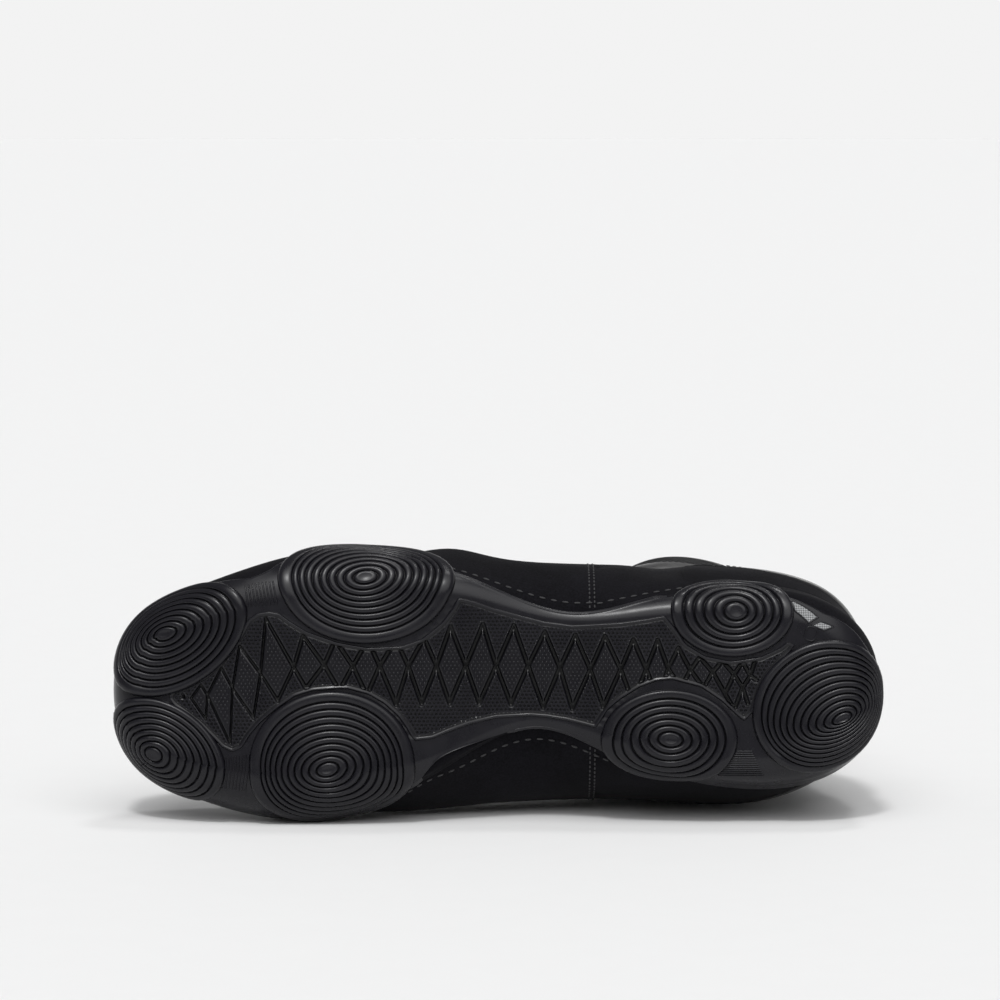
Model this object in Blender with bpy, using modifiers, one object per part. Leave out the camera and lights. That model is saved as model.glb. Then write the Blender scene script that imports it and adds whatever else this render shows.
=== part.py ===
"""Left combat sports shoe for a man's foot, lying on its medial side with the sole upright.

The shoe is drawn standing, in millimetres: x runs from the toe tip to the heel, y to the medial side, z up.
One function, last(), gives the surface that the upper is pulled over. Every piece is a skin at some distance
from it, and skin() turns millimetres into metres. At the end all hangs on one empty that lays the shoe down.
"""

import math
from collections import namedtuple

import bmesh
import bpy
import numpy as np
from mathutils import Matrix, Vector

MM = 0.001

# Main sizes in millimetres
RUBBER = 2.6
POD_HEIGHT = 1.8
WALL = 2.2
GAP = 0.3
OVERLAY = 1.1
TONGUE = 3.6
INSOLE = 3.0
TOE_SPRING = 10.0
ARCH_RISE = 2.5
HEEL_RISE = 2.0
MID_LINE = 2.0

# How the shoe lies, in degrees: how far above level the sole faces, and how far the heel is lowered
LEAN = 7.74
DIP = -0.18

# The rubber's outline from below: distance from the toe and half-width on each side, how round its edge is,
# how far it rolls up in degrees, how far the rubber climbs past the roll, and the row where the insole ends.
# The first and last half-widths say how blunt the two ends are.
Station = namedtuple("Station", "lateral_x lateral medial_x medial radius wrap climb insole")
OUTLINE = (
    Station(0.6, 95.0, 0.6, 100.0, 10.0, 84.0, 4.5, 1.5),
    Station(25.0, 35.5, 22.0, 36.5, 12.0, 88.0, 4.5, 1.6),
    Station(92.0, 51.5, 82.0, 47.5, 16.0, 90.0, 5.5, 1.8),
    Station(130.0, 42.5, 117.0, 35.0, 9.0, 58.0, 1.5, 1.1),
    Station(172.0, 29.0, 157.0, 16.5, 5.0, 38.0, 0.8, 0.85),
    Station(204.0, 34.0, 195.0, 29.5, 8.0, 62.0, 1.5, 1.1),
    Station(236.0, 37.5, 240.0, 36.5, 11.0, 88.0, 4.5, 1.5),
    Station(286.2, 84.0, 286.2, 88.0, 13.0, 88.0, 8.0, 1.5),
)

# The upper in loops from the sole to the top of the tongue: where each loop meets the ridge in front and the
# heel behind, how blunt it is there, and its half-widths at the shoulder, ball, waist and heel
Loop = namedtuple("Loop", "front_x front_z back_x back_z nose lateral medial back")
LOOPS = (
    Loop(4.5, 27.0, 282.5, 34.0, 95.0, (36.0, 49.0, 44.5, 40.0), (36.0, 46.0, 39.0, 40.0), 80.0),
    Loop(12.0, 38.0, 283.5, 48.0, 84.0, (33.5, 47.5, 46.0, 41.5), (33.5, 44.5, 41.5, 41.5), 80.0),
    Loop(37.0, 48.5, 281.0, 64.0, 72.0, (29.5, 43.5, 46.0, 40.5), (29.5, 41.5, 42.0, 39.5), 72.0),
    Loop(78.0, 58.0, 276.5, 82.0, 62.0, (25.5, 39.5, 45.0, 37.0), (25.5, 37.5, 40.5, 35.0), 60.0),
    Loop(120.0, 74.0, 272.5, 99.0, 54.0, (22.5, 38.5, 45.5, 33.5), (22.5, 35.5, 38.0, 29.5), 50.0),
    Loop(156.0, 100.0, 272.0, 114.0, 48.0, (21.5, 46.0, 47.0, 30.0), (20.5, 34.0, 35.0, 25.5), 45.0),
    Loop(175.0, 136.0, 274.5, 130.0, 46.0, (21.5, 43.5, 44.5, 28.5), (20.0, 32.5, 33.0, 24.0), 45.0),
    Loop(181.0, 156.0, 277.0, 146.0, 46.0, (21.5, 40.5, 42.5, 27.5), (20.0, 32.5, 33.0, 24.0), 45.0),
)
LOOP_STATIONS = (0.10, 0.34, 0.62, 0.86)

# Rows of the last: 0 is the line under the middle, 1 to 4 the roll of the sole's edge, 5 the first loop
ROLL_ROW = 4.0
SOLE_ROWS = (0.0, 0.5, 1.0, 1.5, 2.0, 2.5, 3.0, 3.5, 4.0)
UPPER_ROWS = (3.0, 3.5, 4.0, 4.1, 5.0, 5.5, 6.0, 6.5, 7.0, 7.5, 8.05, 8.12, 8.25, 8.6, 9.0, 9.4, 9.8, 10.3,
              10.7, 11.0)
COLUMNS = 24

# Half-width of the throat as a turn in degrees, by row
THROAT = ((0.0, 0.0), (8.05, 0.0), (8.12, 4.5), (8.25, 6.5), (8.6, 8.5), (9.0, 10.0), (10.0, 14.0),
          (11.0, 18.0), (12.0, 20.0))

# The seven pods under the sole: middle, half length, half width and turn
Pod = namedtuple("Pod", "x y along across turn")
PODS = {
    "toe_lateral": Pod(25.0, -18.2, 29.3, 20.0, -34.0),
    "toe_medial": Pod(20.5, 26.5, 26.0, 18.0, 38.0),
    "ball_lateral": Pod(95.0, -38.5, 32.6, 24.5, 0.0),
    "ball_medial": Pod(82.6, 30.3, 30.6, 27.4, 0.0),
    "heel_lateral": Pod(231.0, -26.6, 22.2, 16.8, 0.0),
    "heel_medial": Pod(207.0, 21.3, 25.2, 18.5, 0.0),
    "heel_back": Pod(263.4, 10.2, 27.3, 23.0, -32.0),
}
POD_SEGMENTS = 26
POD_RINGS = ((1.0, 0.25), (0.94, 1.0), (0.76, 1.0), (0.52, 1.0), (0.26, 1.0), (0.0, 1.0))
POD_ROOT = 1.3

# Overlays: the heel counter starts at this column and ends at these rows, in front and behind; the eyestay
# covers this many columns beside the throat
COUNTER_COLUMN = 16
COUNTER_TOP = (6.5, 7.9)
COUNTER_OFF = 0.5
EYESTAY_COLUMNS = 2

# The tongue's half-width as a turn in degrees, by row
TONGUE_HALF = ((7.5, 14.0), (8.25, 22.0), (9.0, 27.0), (10.0, 33.0), (11.0, 40.0), (12.0, 40.0))
TONGUE_ROWS = (7.5, 8.05, 8.6, 9.0, 9.4, 9.8, 10.3, 10.7, 11.0, 11.5, 12.0)
TONGUE_COLUMNS = 8

# Lacing: the rows with a hole on each side, the hole's radius and the lace's section
LACE_ROWS = (8.45, 8.9, 9.35, 9.8, 10.3, 10.75)
HOLE_RADIUS = 2.0
LACE_WIDTH = 5.0
LACE_THICK = 1.3
LACE_CLEAR = 1.0


def blend(start, end, slope_start, slope_end, t):
    """Cubic between two values with given slopes."""
    return (start * (2 * t**3 - 3 * t**2 + 1) + slope_start * (t**3 - 2 * t**2 + t)
            + end * (3 * t**2 - 2 * t**3) + slope_end * (t**3 - t**2))


def smooth(knots, values, at):
    """Curve through values at knots, its slopes taken from the neighbours."""
    knots = np.asarray(knots, float)
    values = np.asarray(values, float)
    steps = np.diff(knots)
    rates = np.diff(values) / steps
    slopes = np.empty_like(values)
    slopes[0] = rates[0]
    slopes[-1] = rates[-1]
    slopes[1:-1] = (rates[:-1] * steps[1:] + rates[1:] * steps[:-1]) / (steps[:-1] + steps[1:])
    at = np.clip(np.asarray(at, float), knots[0], knots[-1])
    k = np.clip(np.searchsorted(knots, at, side="right") - 1, 0, len(steps) - 1)
    return blend(values[k], values[k + 1], slopes[k] * steps[k], slopes[k + 1] * steps[k],
                 (at - knots[k]) / steps[k])


def turn_at(share):
    """Turn round a loop where this share of its length is behind: nought at the toe, pi at the heel."""
    return np.arccos(1 - 2 * np.asarray(share, float))


def profile(x):
    """Height of the sole's underside above the ground along the shoe: toe spring, arch and heel."""
    x = np.asarray(x, float)
    toe = TOE_SPRING * np.clip((78 - x) / 78, 0, None) ** 2
    arch = ARCH_RISE * np.sin(np.pi * np.clip((x - 112) / 84, 0, 1)) ** 2
    heel = HEEL_RISE * np.clip((x - 252) / 35, 0, None) ** 2
    return toe + arch + heel


def half_loop(turn, turns, widths, nose, back):
    """Half-width of a loop at a turn, from its widths at the stations and how blunt its ends are."""
    shape = np.concatenate(([nose], np.asarray(widths) / np.sin(turns), [back]))
    return smooth(np.concatenate(([0.0], turns, [np.pi])), shape, turn) * np.sin(turn)


def whole(turn):
    """The same turn between minus pi and pi."""
    return (np.asarray(turn, float) + np.pi) % (2 * np.pi) - np.pi


def two_sided(turn, lateral, medial):
    """Signed turn round the shoe: below nought is the lateral side, above it the medial side."""
    return np.where(turn < 0, lateral, medial)


SOLE_FRONT = OUTLINE[0].lateral_x
SOLE_BACK = OUTLINE[-1].lateral_x
LATERAL_TURNS = turn_at([(s.lateral_x - SOLE_FRONT) / (SOLE_BACK - SOLE_FRONT) for s in OUTLINE])
MEDIAL_TURNS = turn_at([(s.medial_x - SOLE_FRONT) / (SOLE_BACK - SOLE_FRONT) for s in OUTLINE])


def station(turn, column):
    """A column of the outline's table at any turn."""
    values = [getattr(s, column) for s in OUTLINE]
    size = np.abs(turn)
    return two_sided(turn, smooth(LATERAL_TURNS, values, size), smooth(MEDIAL_TURNS, values, size))


def outline(turn):
    """The rubber's outline in plan."""
    turn = whole(turn)
    size = np.abs(turn)
    lateral = [s.lateral for s in OUTLINE]
    medial = [s.medial for s in OUTLINE]
    x = SOLE_FRONT + (SOLE_BACK - SOLE_FRONT) * (1 - np.cos(size)) / 2
    y = two_sided(
        turn,
        -half_loop(size, LATERAL_TURNS[1:-1], lateral[1:-1], lateral[0], lateral[-1]),
        half_loop(size, MEDIAL_TURNS[1:-1], medial[1:-1], medial[0], medial[-1]),
    )
    return np.stack((x, y + MID_LINE), -1)


def outward(turn):
    """Direction away from the sole in plan, square to the outline."""
    along = outline(turn + 2e-3) - outline(turn - 2e-3)
    out = np.stack((-along[..., 1], along[..., 0]), -1)
    return out / np.linalg.norm(out, axis=-1, keepdims=True)


def flat_edge(turn):
    """Where the flat of the sole ends and its edge starts to roll up."""
    return outline(turn) - outward(turn) * station(turn, "radius")[..., None]


def rows(turn):
    """The last's points on every row at the given turns."""
    size = np.abs(turn)
    edge = flat_edge(turn)
    keel = (edge + flat_edge(-turn)) / 2
    floor = POD_HEIGHT + RUBBER + GAP
    found = [np.column_stack((keel, profile(keel[:, 0]) + floor))]
    radius = station(turn, "radius")
    inner = radius - RUBBER - GAP
    for share in (0.0, 1 / 3, 2 / 3, 1.0):
        angle = np.radians(station(turn, "wrap")) * share
        plan = edge + outward(turn) * (inner * np.sin(angle))[:, None]
        height = profile(plan[:, 0]) + POD_HEIGHT + radius - inner * np.cos(angle)
        found.append(np.column_stack((plan, height)))
    turns = turn_at(LOOP_STATIONS)
    share = (1 - np.cos(size)) / 2
    for loop in LOOPS:
        y = two_sided(turn, -half_loop(size, turns, loop.lateral, loop.nose, loop.back),
                      half_loop(size, turns, loop.medial, loop.nose, loop.back))
        found.append(np.column_stack((
            loop.front_x + (loop.back_x - loop.front_x) * share,
            y + MID_LINE,
            loop.front_z + (loop.back_z - loop.front_z) * share,
        )))
    return np.array(found)


def last(turn, row):
    """Point of the last at a signed turn round the shoe and a row up from the middle of the sole."""
    turn = whole(np.atleast_1d(turn))
    row = np.broadcast_to(np.asarray(row, float), turn.shape)
    points = rows(turn)
    steps = np.linalg.norm(np.diff(points, axis=0), axis=-1)[..., None] + 1e-6
    rates = np.diff(points, axis=0) / steps
    slopes = np.empty_like(points)
    slopes[0] = rates[0]
    slopes[-1] = rates[-1]
    slopes[1:-1] = (rates[:-1] * steps[1:] + rates[1:] * steps[:-1]) / (steps[:-1] + steps[1:])
    out = outward(turn)
    x = points[1, :, 0]
    slopes[1] = np.column_stack((out, (profile(x + 0.5) - profile(x - 0.5)) * out[:, 0]))
    k = np.clip(np.floor(row).astype(int), 0, len(points) - 2)
    n = np.arange(len(turn))
    step = steps[k, n]
    found = blend(points[k, n], points[k + 1, n], slopes[k, n] * step, slopes[k + 1, n] * step,
                  (row - k)[:, None])
    plan = points[0] + (points[1] - points[0]) * row[:, None]
    flat = np.column_stack((plan[:, :2], profile(plan[:, 0]) + POD_HEIGHT + RUBBER + GAP))
    return np.where((row < 1.0)[:, None], flat, found)


def square_to(turn, row):
    """Outward direction of the last."""
    turn = np.atleast_1d(np.asarray(turn, float))
    row = np.broadcast_to(np.asarray(row, float), turn.shape)
    round_it = last(turn + 2e-3, row) - last(turn - 2e-3, row)
    up_it = last(turn, np.clip(row + 1e-3, 0, 12)) - last(turn, np.clip(row - 1e-3, 0, 12))
    out = np.cross(up_it, round_it)
    x = last(turn, row)[:, 0]
    under = np.column_stack((profile(x + 0.5) - profile(x - 0.5), 0 * x, -np.ones_like(x)))
    out = np.where((row < 1.0)[:, None], under, out)
    return out / (np.linalg.norm(out, axis=-1, keepdims=True) + 1e-12)


def off_last(turn, row, away):
    """Point at a distance outside the last, or inside it below nought."""
    return last(turn, row) + square_to(turn, row) * np.asarray(away, float).reshape(-1, 1)


def off_grid(turns, row_values, away):
    """Grid of such points: a line for each row, a column for each turn; either may be a full grid itself."""
    turns, row_values, away = np.broadcast_arrays(turns, row_values, away)
    flat = off_last(turns.ravel(), row_values.ravel(), away.ravel())
    return flat.reshape(turns.shape + (3,))


# Outer face of the rubber as arc lengths past its flat, so that what is drawn flat can be wrapped round it
ARC_TURNS = np.linspace(-np.pi, np.pi, 361)
ARC_ROWS = np.linspace(1.0, 6.5, 56)
ARC_FACE = off_grid(ARC_TURNS[:, None], ARC_ROWS[None, :], GAP + RUBBER)
ARCS = np.concatenate((np.zeros((361, 1)),
                       np.cumsum(np.linalg.norm(np.diff(ARC_FACE, axis=1), axis=-1), axis=1)), axis=1)
EDGE = flat_edge(ARC_TURNS)
EDGE_SLOPE = np.gradient(EDGE, ARC_TURNS, axis=0)


def on_sole(plan, lift):
    """Point of the rubber's outer face, raised by lift, for a point on the flat pattern of the sole."""
    plan = np.asarray(plan, float)
    lift = np.broadcast_to(np.asarray(lift, float), plan.shape[:1])
    nearest = np.argmin(((plan[:, None] - EDGE[None]) ** 2).sum(-1), axis=1)
    slope = EDGE_SLOPE[nearest]
    turn = ARC_TURNS[nearest] + ((plan - EDGE[nearest]) * slope).sum(-1) / (slope**2).sum(-1)
    turn = np.clip(turn, ARC_TURNS[nearest] - 0.02, ARC_TURNS[nearest] + 0.02)
    turn = whole(turn)
    past = ((plan - flat_edge(turn)) * outward(turn)).sum(-1)
    place = (turn + np.pi) / (ARC_TURNS[1] - ARC_TURNS[0])
    low = np.clip(np.floor(place).astype(int), 0, len(ARC_TURNS) - 2)
    share = place - low
    row = np.array([
        (1 - s) * np.interp(p, ARCS[k], ARC_ROWS) + s * np.interp(p, ARCS[k + 1], ARC_ROWS)
        for p, k, s in zip(past, low, share)
    ])
    wrapped = off_last(turn, row, GAP + RUBBER + lift)
    x = plan[:, 0]
    under = np.column_stack((profile(x + 0.5) - profile(x - 0.5), 0 * x, -np.ones_like(x)))
    under /= np.linalg.norm(under, axis=-1, keepdims=True)
    flat = np.column_stack((plan, profile(x) + POD_HEIGHT)) + under * lift[:, None]
    return np.where((past > 0)[:, None], wrapped, flat)


def clear_scene():
    for item in list(bpy.data.objects):
        bpy.data.objects.remove(item, do_unlink=True)


def collection(name):
    made = bpy.data.collections.new(name)
    bpy.context.scene.collection.children.link(made)
    return made


def material(name, colour, roughness):
    made = bpy.data.materials.new(name)
    made.use_nodes = True
    shader = made.node_tree.nodes["Principled BSDF"]
    shader.inputs["Base Color"].default_value = (*colour, 1.0)
    shader.inputs["Roughness"].default_value = roughness
    return made


def skin(name, grids, home, coat):
    """Object with one open sheet made of grids of points that share their edges."""
    mesh = bmesh.new()
    for grid in grids:
        verts = [[mesh.verts.new(Vector(p) * MM) for p in line] for line in grid]
        for low, high in zip(verts, verts[1:]):
            for k in range(len(low) - 1):
                mesh.faces.new((low[k], high[k], high[k + 1], low[k + 1]))
    bmesh.ops.remove_doubles(mesh, verts=mesh.verts, dist=2e-5)
    data = bpy.data.meshes.new(name)
    mesh.to_mesh(data)
    mesh.free()
    item = bpy.data.objects.new(name, data)
    home.objects.link(item)
    data.materials.append(coat)
    return item


def thicken(item, thickness):
    """Give a sheet its thickness on the inside."""
    solid = item.modifiers.new("thickness", "SOLIDIFY")
    solid.thickness = thickness * MM
    solid.offset = -1.0
    solid.use_even_offset = True
    solid.use_quality_normals = True
    return item


def combine(item, other, how, solver="EXACT"):
    cut = item.modifiers.new(how.lower(), "BOOLEAN")
    cut.operation = how
    cut.solver = solver
    cut.object = other


def throat(row):
    """Half of the throat's opening at a row, as a turn."""
    return np.radians(np.interp(row, [t[0] for t in THROAT], [t[1] for t in THROAT]))


def sole_top(turn):
    """Row where the rubber ends."""
    points = rows(np.atleast_1d(turn))
    return ROLL_ROW + station(np.atleast_1d(turn), "climb") / np.linalg.norm(points[5] - points[4], axis=-1)


clear_scene()
SHOE = collection("combat_sports_shoe")
CUTTERS = collection("cutters")

RUBBER_COAT = material("rubber", (0.035, 0.036, 0.038), 0.5)
SUEDE_COAT = material("suede", (0.012, 0.011, 0.012), 0.9)
GLOSS_COAT = material("gloss_trim", (0.02, 0.02, 0.022), 0.25)
FABRIC_COAT = material("tongue_fabric", (0.03, 0.03, 0.032), 0.8)
LACE_COAT = material("lace_fabric", (0.02, 0.02, 0.02), 0.85)
FOAM_COAT = material("insole_foam", (0.06, 0.06, 0.065), 0.9)

# Outsole
sides = np.linspace(0.0, np.pi, COLUMNS + 1)
turns = np.concatenate((-sides[::-1], sides[1:]))
row_grid = np.vstack([np.full(turns.shape, r) for r in SOLE_ROWS] + [sole_top(turns)])
outsole = skin("outsole", [off_grid(turns[None, :], row_grid, GAP + RUBBER)], SHOE, RUBBER_COAT)
thicken(outsole, RUBBER)

for name, pod in PODS.items():
    spin = np.linspace(0.0, 2 * np.pi, POD_SEGMENTS + 1)
    c, s = math.cos(math.radians(pod.turn)), math.sin(math.radians(pod.turn))
    lines = []
    for size, share in POD_RINGS:
        u = pod.along * size * np.cos(spin)
        w = pod.across * size * np.sin(spin)
        plan = np.column_stack((pod.x + u * c - w * s, pod.y + u * s + w * c))
        lines.append(on_sole(plan, POD_HEIGHT * share))
    lug = skin("pod_" + name, [np.array(lines)], CUTTERS, RUBBER_COAT)
    thicken(lug, POD_HEIGHT + POD_ROOT)
    combine(outsole, lug, "UNION", "MANIFOLD")

# Insole
share = np.array((0.0, 0.4, 0.7, 1.0))[:, None]
insole = skin("insole", [off_grid(turns[None, :], share * station(turns, "insole"), 0.0)], SHOE, FOAM_COAT)
thicken(insole, INSOLE)

# Upper
columns = np.linspace(0.0, 1.0, COLUMNS + 1)
upper_rows = np.array(UPPER_ROWS)
start = throat(upper_rows)[:, None]
medial = start + (np.pi - start) * columns[None, :]
lateral = -medial[:, ::-1]
halves = []
for half in (lateral, medial):
    sheet = np.repeat(upper_rows[:, None], COLUMNS + 1, axis=1)
    sheet[3] = sole_top(half[3])
    halves.append(off_grid(half, sheet, 0.0))
upper = skin("upper", halves, SHOE, SUEDE_COAT)
thicken(upper, WALL)

# Heel counter
back = np.concatenate((sides[COUNTER_COLUMN:], 2 * np.pi - sides[COUNTER_COLUMN:-1][::-1]))
back = whole(back)
foot = sole_top(back) + 0.04
rise = (np.abs(back) - sides[COUNTER_COLUMN]) / (np.pi - sides[COUNTER_COLUMN])
crown = COUNTER_TOP[0] + (COUNTER_TOP[1] - COUNTER_TOP[0]) * np.sin(rise * np.pi / 2) ** 2
share = np.linspace(0.0, 1.0, 6)[:, None]
shell = off_grid(back[None, :], foot + (crown - foot) * share, COUNTER_OFF + OVERLAY)
counter = skin("heel_counter", [shell], SHOE, GLOSS_COAT)
thicken(counter, OVERLAY)

# Eyestays and the holes for the lace
stay_rows = upper_rows[upper_rows > THROAT[2][0]][:, None]
stay_start = throat(stay_rows)
stay = stay_start + (np.pi - stay_start) * columns[None, :EYESTAY_COLUMNS + 1]
punches = []
stays = {}
for side, name in ((-1, "eyestay_lateral"), (1, "eyestay_medial")):
    strip = stay if side > 0 else -stay[:, ::-1]
    stays[side] = skin(name, [off_grid(strip, stay_rows, GAP + OVERLAY)], SHOE, GLOSS_COAT)
    thicken(stays[side], OVERLAY)
    for row in LACE_ROWS:
        turn = np.array([side * (throat(row) + (np.pi - throat(row)) / COLUMNS)])
        inner = off_last(turn, row, -WALL - 1.5)[0]
        outer = off_last(turn, row, GAP + OVERLAY + 1.5)[0]
        punches.append((inner, outer))

mesh = bmesh.new()
for inner, outer in punches:
    line = Vector(outer - inner)
    middle = Matrix.Translation(Vector((inner + outer) / 2 * MM))
    place = middle @ line.to_track_quat("Z", "Y").to_matrix().to_4x4()
    bmesh.ops.create_cone(mesh, cap_ends=True, segments=8, radius1=HOLE_RADIUS * MM,
                          radius2=HOLE_RADIUS * MM, depth=line.length * MM, matrix=place)
data = bpy.data.meshes.new("lace_holes")
mesh.to_mesh(data)
mesh.free()
holes = bpy.data.objects.new("lace_holes", data)
CUTTERS.objects.link(holes)
for item in (upper, stays[-1], stays[1]):
    combine(item, holes, "DIFFERENCE")

# Tongue
tongue_rows = np.array(TONGUE_ROWS)[:, None]
half = np.radians(np.interp(tongue_rows, [t[0] for t in TONGUE_HALF], [t[1] for t in TONGUE_HALF]))
spread = np.linspace(-1.0, 1.0, TONGUE_COLUMNS + 1)[None, :]
tongue = skin("tongue", [off_grid(half * spread, tongue_rows, -WALL - GAP - 0.4)], SHOE, FABRIC_COAT)
thicken(tongue, TONGUE)


def lace_bar(name, start_side, start_row, end_row, lift, home):
    """Flat lace from a hole on one side to a hole on the other."""
    t = np.linspace(0.0, 1.0, 7)
    row = start_row + (end_row - start_row) * t
    hole = throat(row) + (np.pi - throat(row)) / COLUMNS
    turn = start_side * hole * (1 - 2 * t)
    line = off_last(turn, row, lift)
    ahead = np.gradient(line, axis=0)
    ahead /= np.linalg.norm(ahead, axis=-1, keepdims=True)
    across = np.cross(square_to(turn, row), ahead) * LACE_WIDTH / 2
    line[0] -= ahead[0] * LACE_WIDTH / 2
    line[-1] += ahead[-1] * LACE_WIDTH / 2
    ribbon = np.stack((line - across, line + across), axis=1)
    return thicken(skin(name, [ribbon], home, LACE_COAT), LACE_THICK)


# Laces: a straight bar at the bottom, then one crossing for each pair of rows
lift = GAP + OVERLAY + LACE_CLEAR + LACE_THICK
laces = lace_bar("laces", -1, LACE_ROWS[0], LACE_ROWS[0], lift + 0.1, SHOE)
for k, (low, high) in enumerate(zip(LACE_ROWS, LACE_ROWS[1:])):
    for side in (-1, 1):
        over = lift + 0.15 * (side > 0) + 0.05 * (k % 2)
        bar = lace_bar(f"lace_{k}_{side}", side, low, high, over, CUTTERS)
        combine(laces, bar, "UNION")

# Lay the shoe on its side, with its box standing on the ground over the origin
lying = bpy.data.objects.new("lying", None)
SHOE.objects.link(lying)
pieces = [item for item in SHOE.objects if item is not lying]
for item in CUTTERS.objects:
    item.hide_render = True
    item.display_type = "WIRE"
tip = Matrix.Rotation(math.radians(DIP), 4, "Y") @ Matrix.Rotation(math.radians(-90 - LEAN), 4, "X")
bpy.context.view_layer.update()
graph = bpy.context.evaluated_depsgraph_get()
spots = np.array([tip @ v.co for item in pieces for v in item.evaluated_get(graph).data.vertices])
low, high = spots.min(axis=0), spots.max(axis=0)
lying.matrix_world = Matrix.Translation((-(low[0] + high[0]) / 2, -(low[1] + high[1]) / 2, -low[2])) @ tip
for item in pieces + list(CUTTERS.objects):
    item.parent = lying
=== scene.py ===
import math

import bmesh
import bpy
import numpy as np
from mathutils import Matrix, Vector


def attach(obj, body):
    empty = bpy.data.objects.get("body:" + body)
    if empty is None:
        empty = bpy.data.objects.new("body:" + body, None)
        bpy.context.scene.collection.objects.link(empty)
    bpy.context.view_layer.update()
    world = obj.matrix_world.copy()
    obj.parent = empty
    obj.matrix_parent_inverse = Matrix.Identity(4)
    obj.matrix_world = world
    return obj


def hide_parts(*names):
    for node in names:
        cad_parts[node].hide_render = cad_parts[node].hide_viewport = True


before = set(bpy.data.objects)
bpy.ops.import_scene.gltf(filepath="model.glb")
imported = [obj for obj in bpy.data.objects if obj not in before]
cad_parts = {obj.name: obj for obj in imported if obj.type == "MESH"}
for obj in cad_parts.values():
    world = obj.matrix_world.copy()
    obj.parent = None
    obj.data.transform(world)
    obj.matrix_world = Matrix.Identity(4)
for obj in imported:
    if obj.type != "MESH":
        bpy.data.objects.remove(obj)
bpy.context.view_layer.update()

# The shoe is drawn standing, in millimetres: x from the toe tip to the heel, y to the medial side, z up.
# A turn goes round it: nought at the toe, below nought on the lateral side, plus or minus pi at the heel.
# A row goes up it: 0 to 1 is the flat of the sole, 1 to 4 the roll of its edge, 5 and on the upper.
shoe = {
    "rubber": 2.6, "podHeight": 1.8, "wall": 2.2, "gap": 0.3, "overlay": 1.1,
    "toeSpring": 10.0, "archRise": 2.5, "heelRise": 2.0, "midLine": 2.0, "columns": 24,
    "onFloor": 0.0003, "weld": 2e-6, "sliver": 1e-7,
    "toe": 78.0, "arch": (112.0, 84.0), "heel": (252.0, 35.0),  # where the ground line bends: from and length
    # lateral x and half-width, medial x and half-width, roundness of the edge, its roll in degrees, climb, insole
    "outline": np.array((
        (0.6, 95.0, 0.6, 100.0, 10.0, 84.0, 4.5, 1.5),
        (25.0, 35.5, 22.0, 36.5, 12.0, 88.0, 4.5, 1.6),
        (92.0, 51.5, 82.0, 47.5, 16.0, 90.0, 5.5, 1.8),
        (130.0, 42.5, 117.0, 35.0, 9.0, 58.0, 1.5, 1.1),
        (172.0, 29.0, 157.0, 16.5, 5.0, 38.0, 0.8, 0.85),
        (204.0, 34.0, 195.0, 29.5, 8.0, 62.0, 1.5, 1.1),
        (236.0, 37.5, 240.0, 36.5, 11.0, 88.0, 4.5, 1.5),
        (286.2, 84.0, 286.2, 88.0, 13.0, 88.0, 8.0, 1.5),
    )),
    # front x and z, back x and z, bluntness in front, lateral widths, medial widths, bluntness behind
    "loops": (
        (4.5, 27.0, 282.5, 34.0, 95.0, (36.0, 49.0, 44.5, 40.0), (36.0, 46.0, 39.0, 40.0), 80.0),
        (12.0, 38.0, 283.5, 48.0, 84.0, (33.5, 47.5, 46.0, 41.5), (33.5, 44.5, 41.5, 41.5), 80.0),
        (37.0, 48.5, 281.0, 64.0, 72.0, (29.5, 43.5, 46.0, 40.5), (29.5, 41.5, 42.0, 39.5), 72.0),
        (78.0, 58.0, 276.5, 82.0, 62.0, (25.5, 39.5, 45.0, 37.0), (25.5, 37.5, 40.5, 35.0), 60.0),
        (120.0, 74.0, 272.5, 99.0, 54.0, (22.5, 38.5, 45.5, 33.5), (22.5, 35.5, 38.0, 29.5), 50.0),
        (156.0, 100.0, 272.0, 114.0, 48.0, (21.5, 46.0, 47.0, 30.0), (20.5, 34.0, 35.0, 25.5), 45.0),
        (175.0, 136.0, 274.5, 130.0, 46.0, (21.5, 43.5, 44.5, 28.5), (20.0, 32.5, 33.0, 24.0), 45.0),
        (181.0, 156.0, 277.0, 146.0, 46.0, (21.5, 40.5, 42.5, 27.5), (20.0, 32.5, 33.0, 24.0), 45.0),
    ),
    "loopShares": np.array((0.10, 0.34, 0.62, 0.86)),
    "throatRow": (0.0, 8.05, 8.12, 8.25, 8.6, 9.0, 10.0, 11.0, 12.0),
    "throatTurn": (0.0, 0.0, 4.5, 6.5, 8.5, 10.0, 14.0, 18.0, 20.0),
    # how the standing shoe is laid down, in metres
    "lying": np.array((
        (0.999995053, 0.003113015, 0.000423109, -0.143564180),
        (0.0, -0.134677872, 0.990889430, -0.075352721),
        (0.003141637, -0.990884542, -0.134677216, 0.053019047),
    )),
}


soleFace = shoe["gap"] + shoe["rubber"]
floorLift = shoe["podHeight"] + soleFace


def toWorld(points):
    points = np.asarray(points, float) * 0.001
    return points @ shoe["lying"][:, :3].T + shoe["lying"][:, 3]


def turnToWorld(vectors):
    return np.asarray(vectors, float) @ shoe["lying"][:, :3].T


def cubic(start, end, slopeStart, slopeEnd, t):
    return (start * (2 * t**3 - 3 * t**2 + 1) + slopeStart * (t**3 - 2 * t**2 + t)
            + end * (3 * t**2 - 2 * t**3) + slopeEnd * (t**3 - t**2))


def unit(vectors):
    return vectors / np.linalg.norm(vectors, axis=-1, keepdims=True)


def knotSlopes(rates, steps):
    middle = (rates[:-1] * steps[1:] + rates[1:] * steps[:-1]) / (steps[:-1] + steps[1:])
    return np.concatenate((rates[:1], middle, rates[-1:]))


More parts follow.
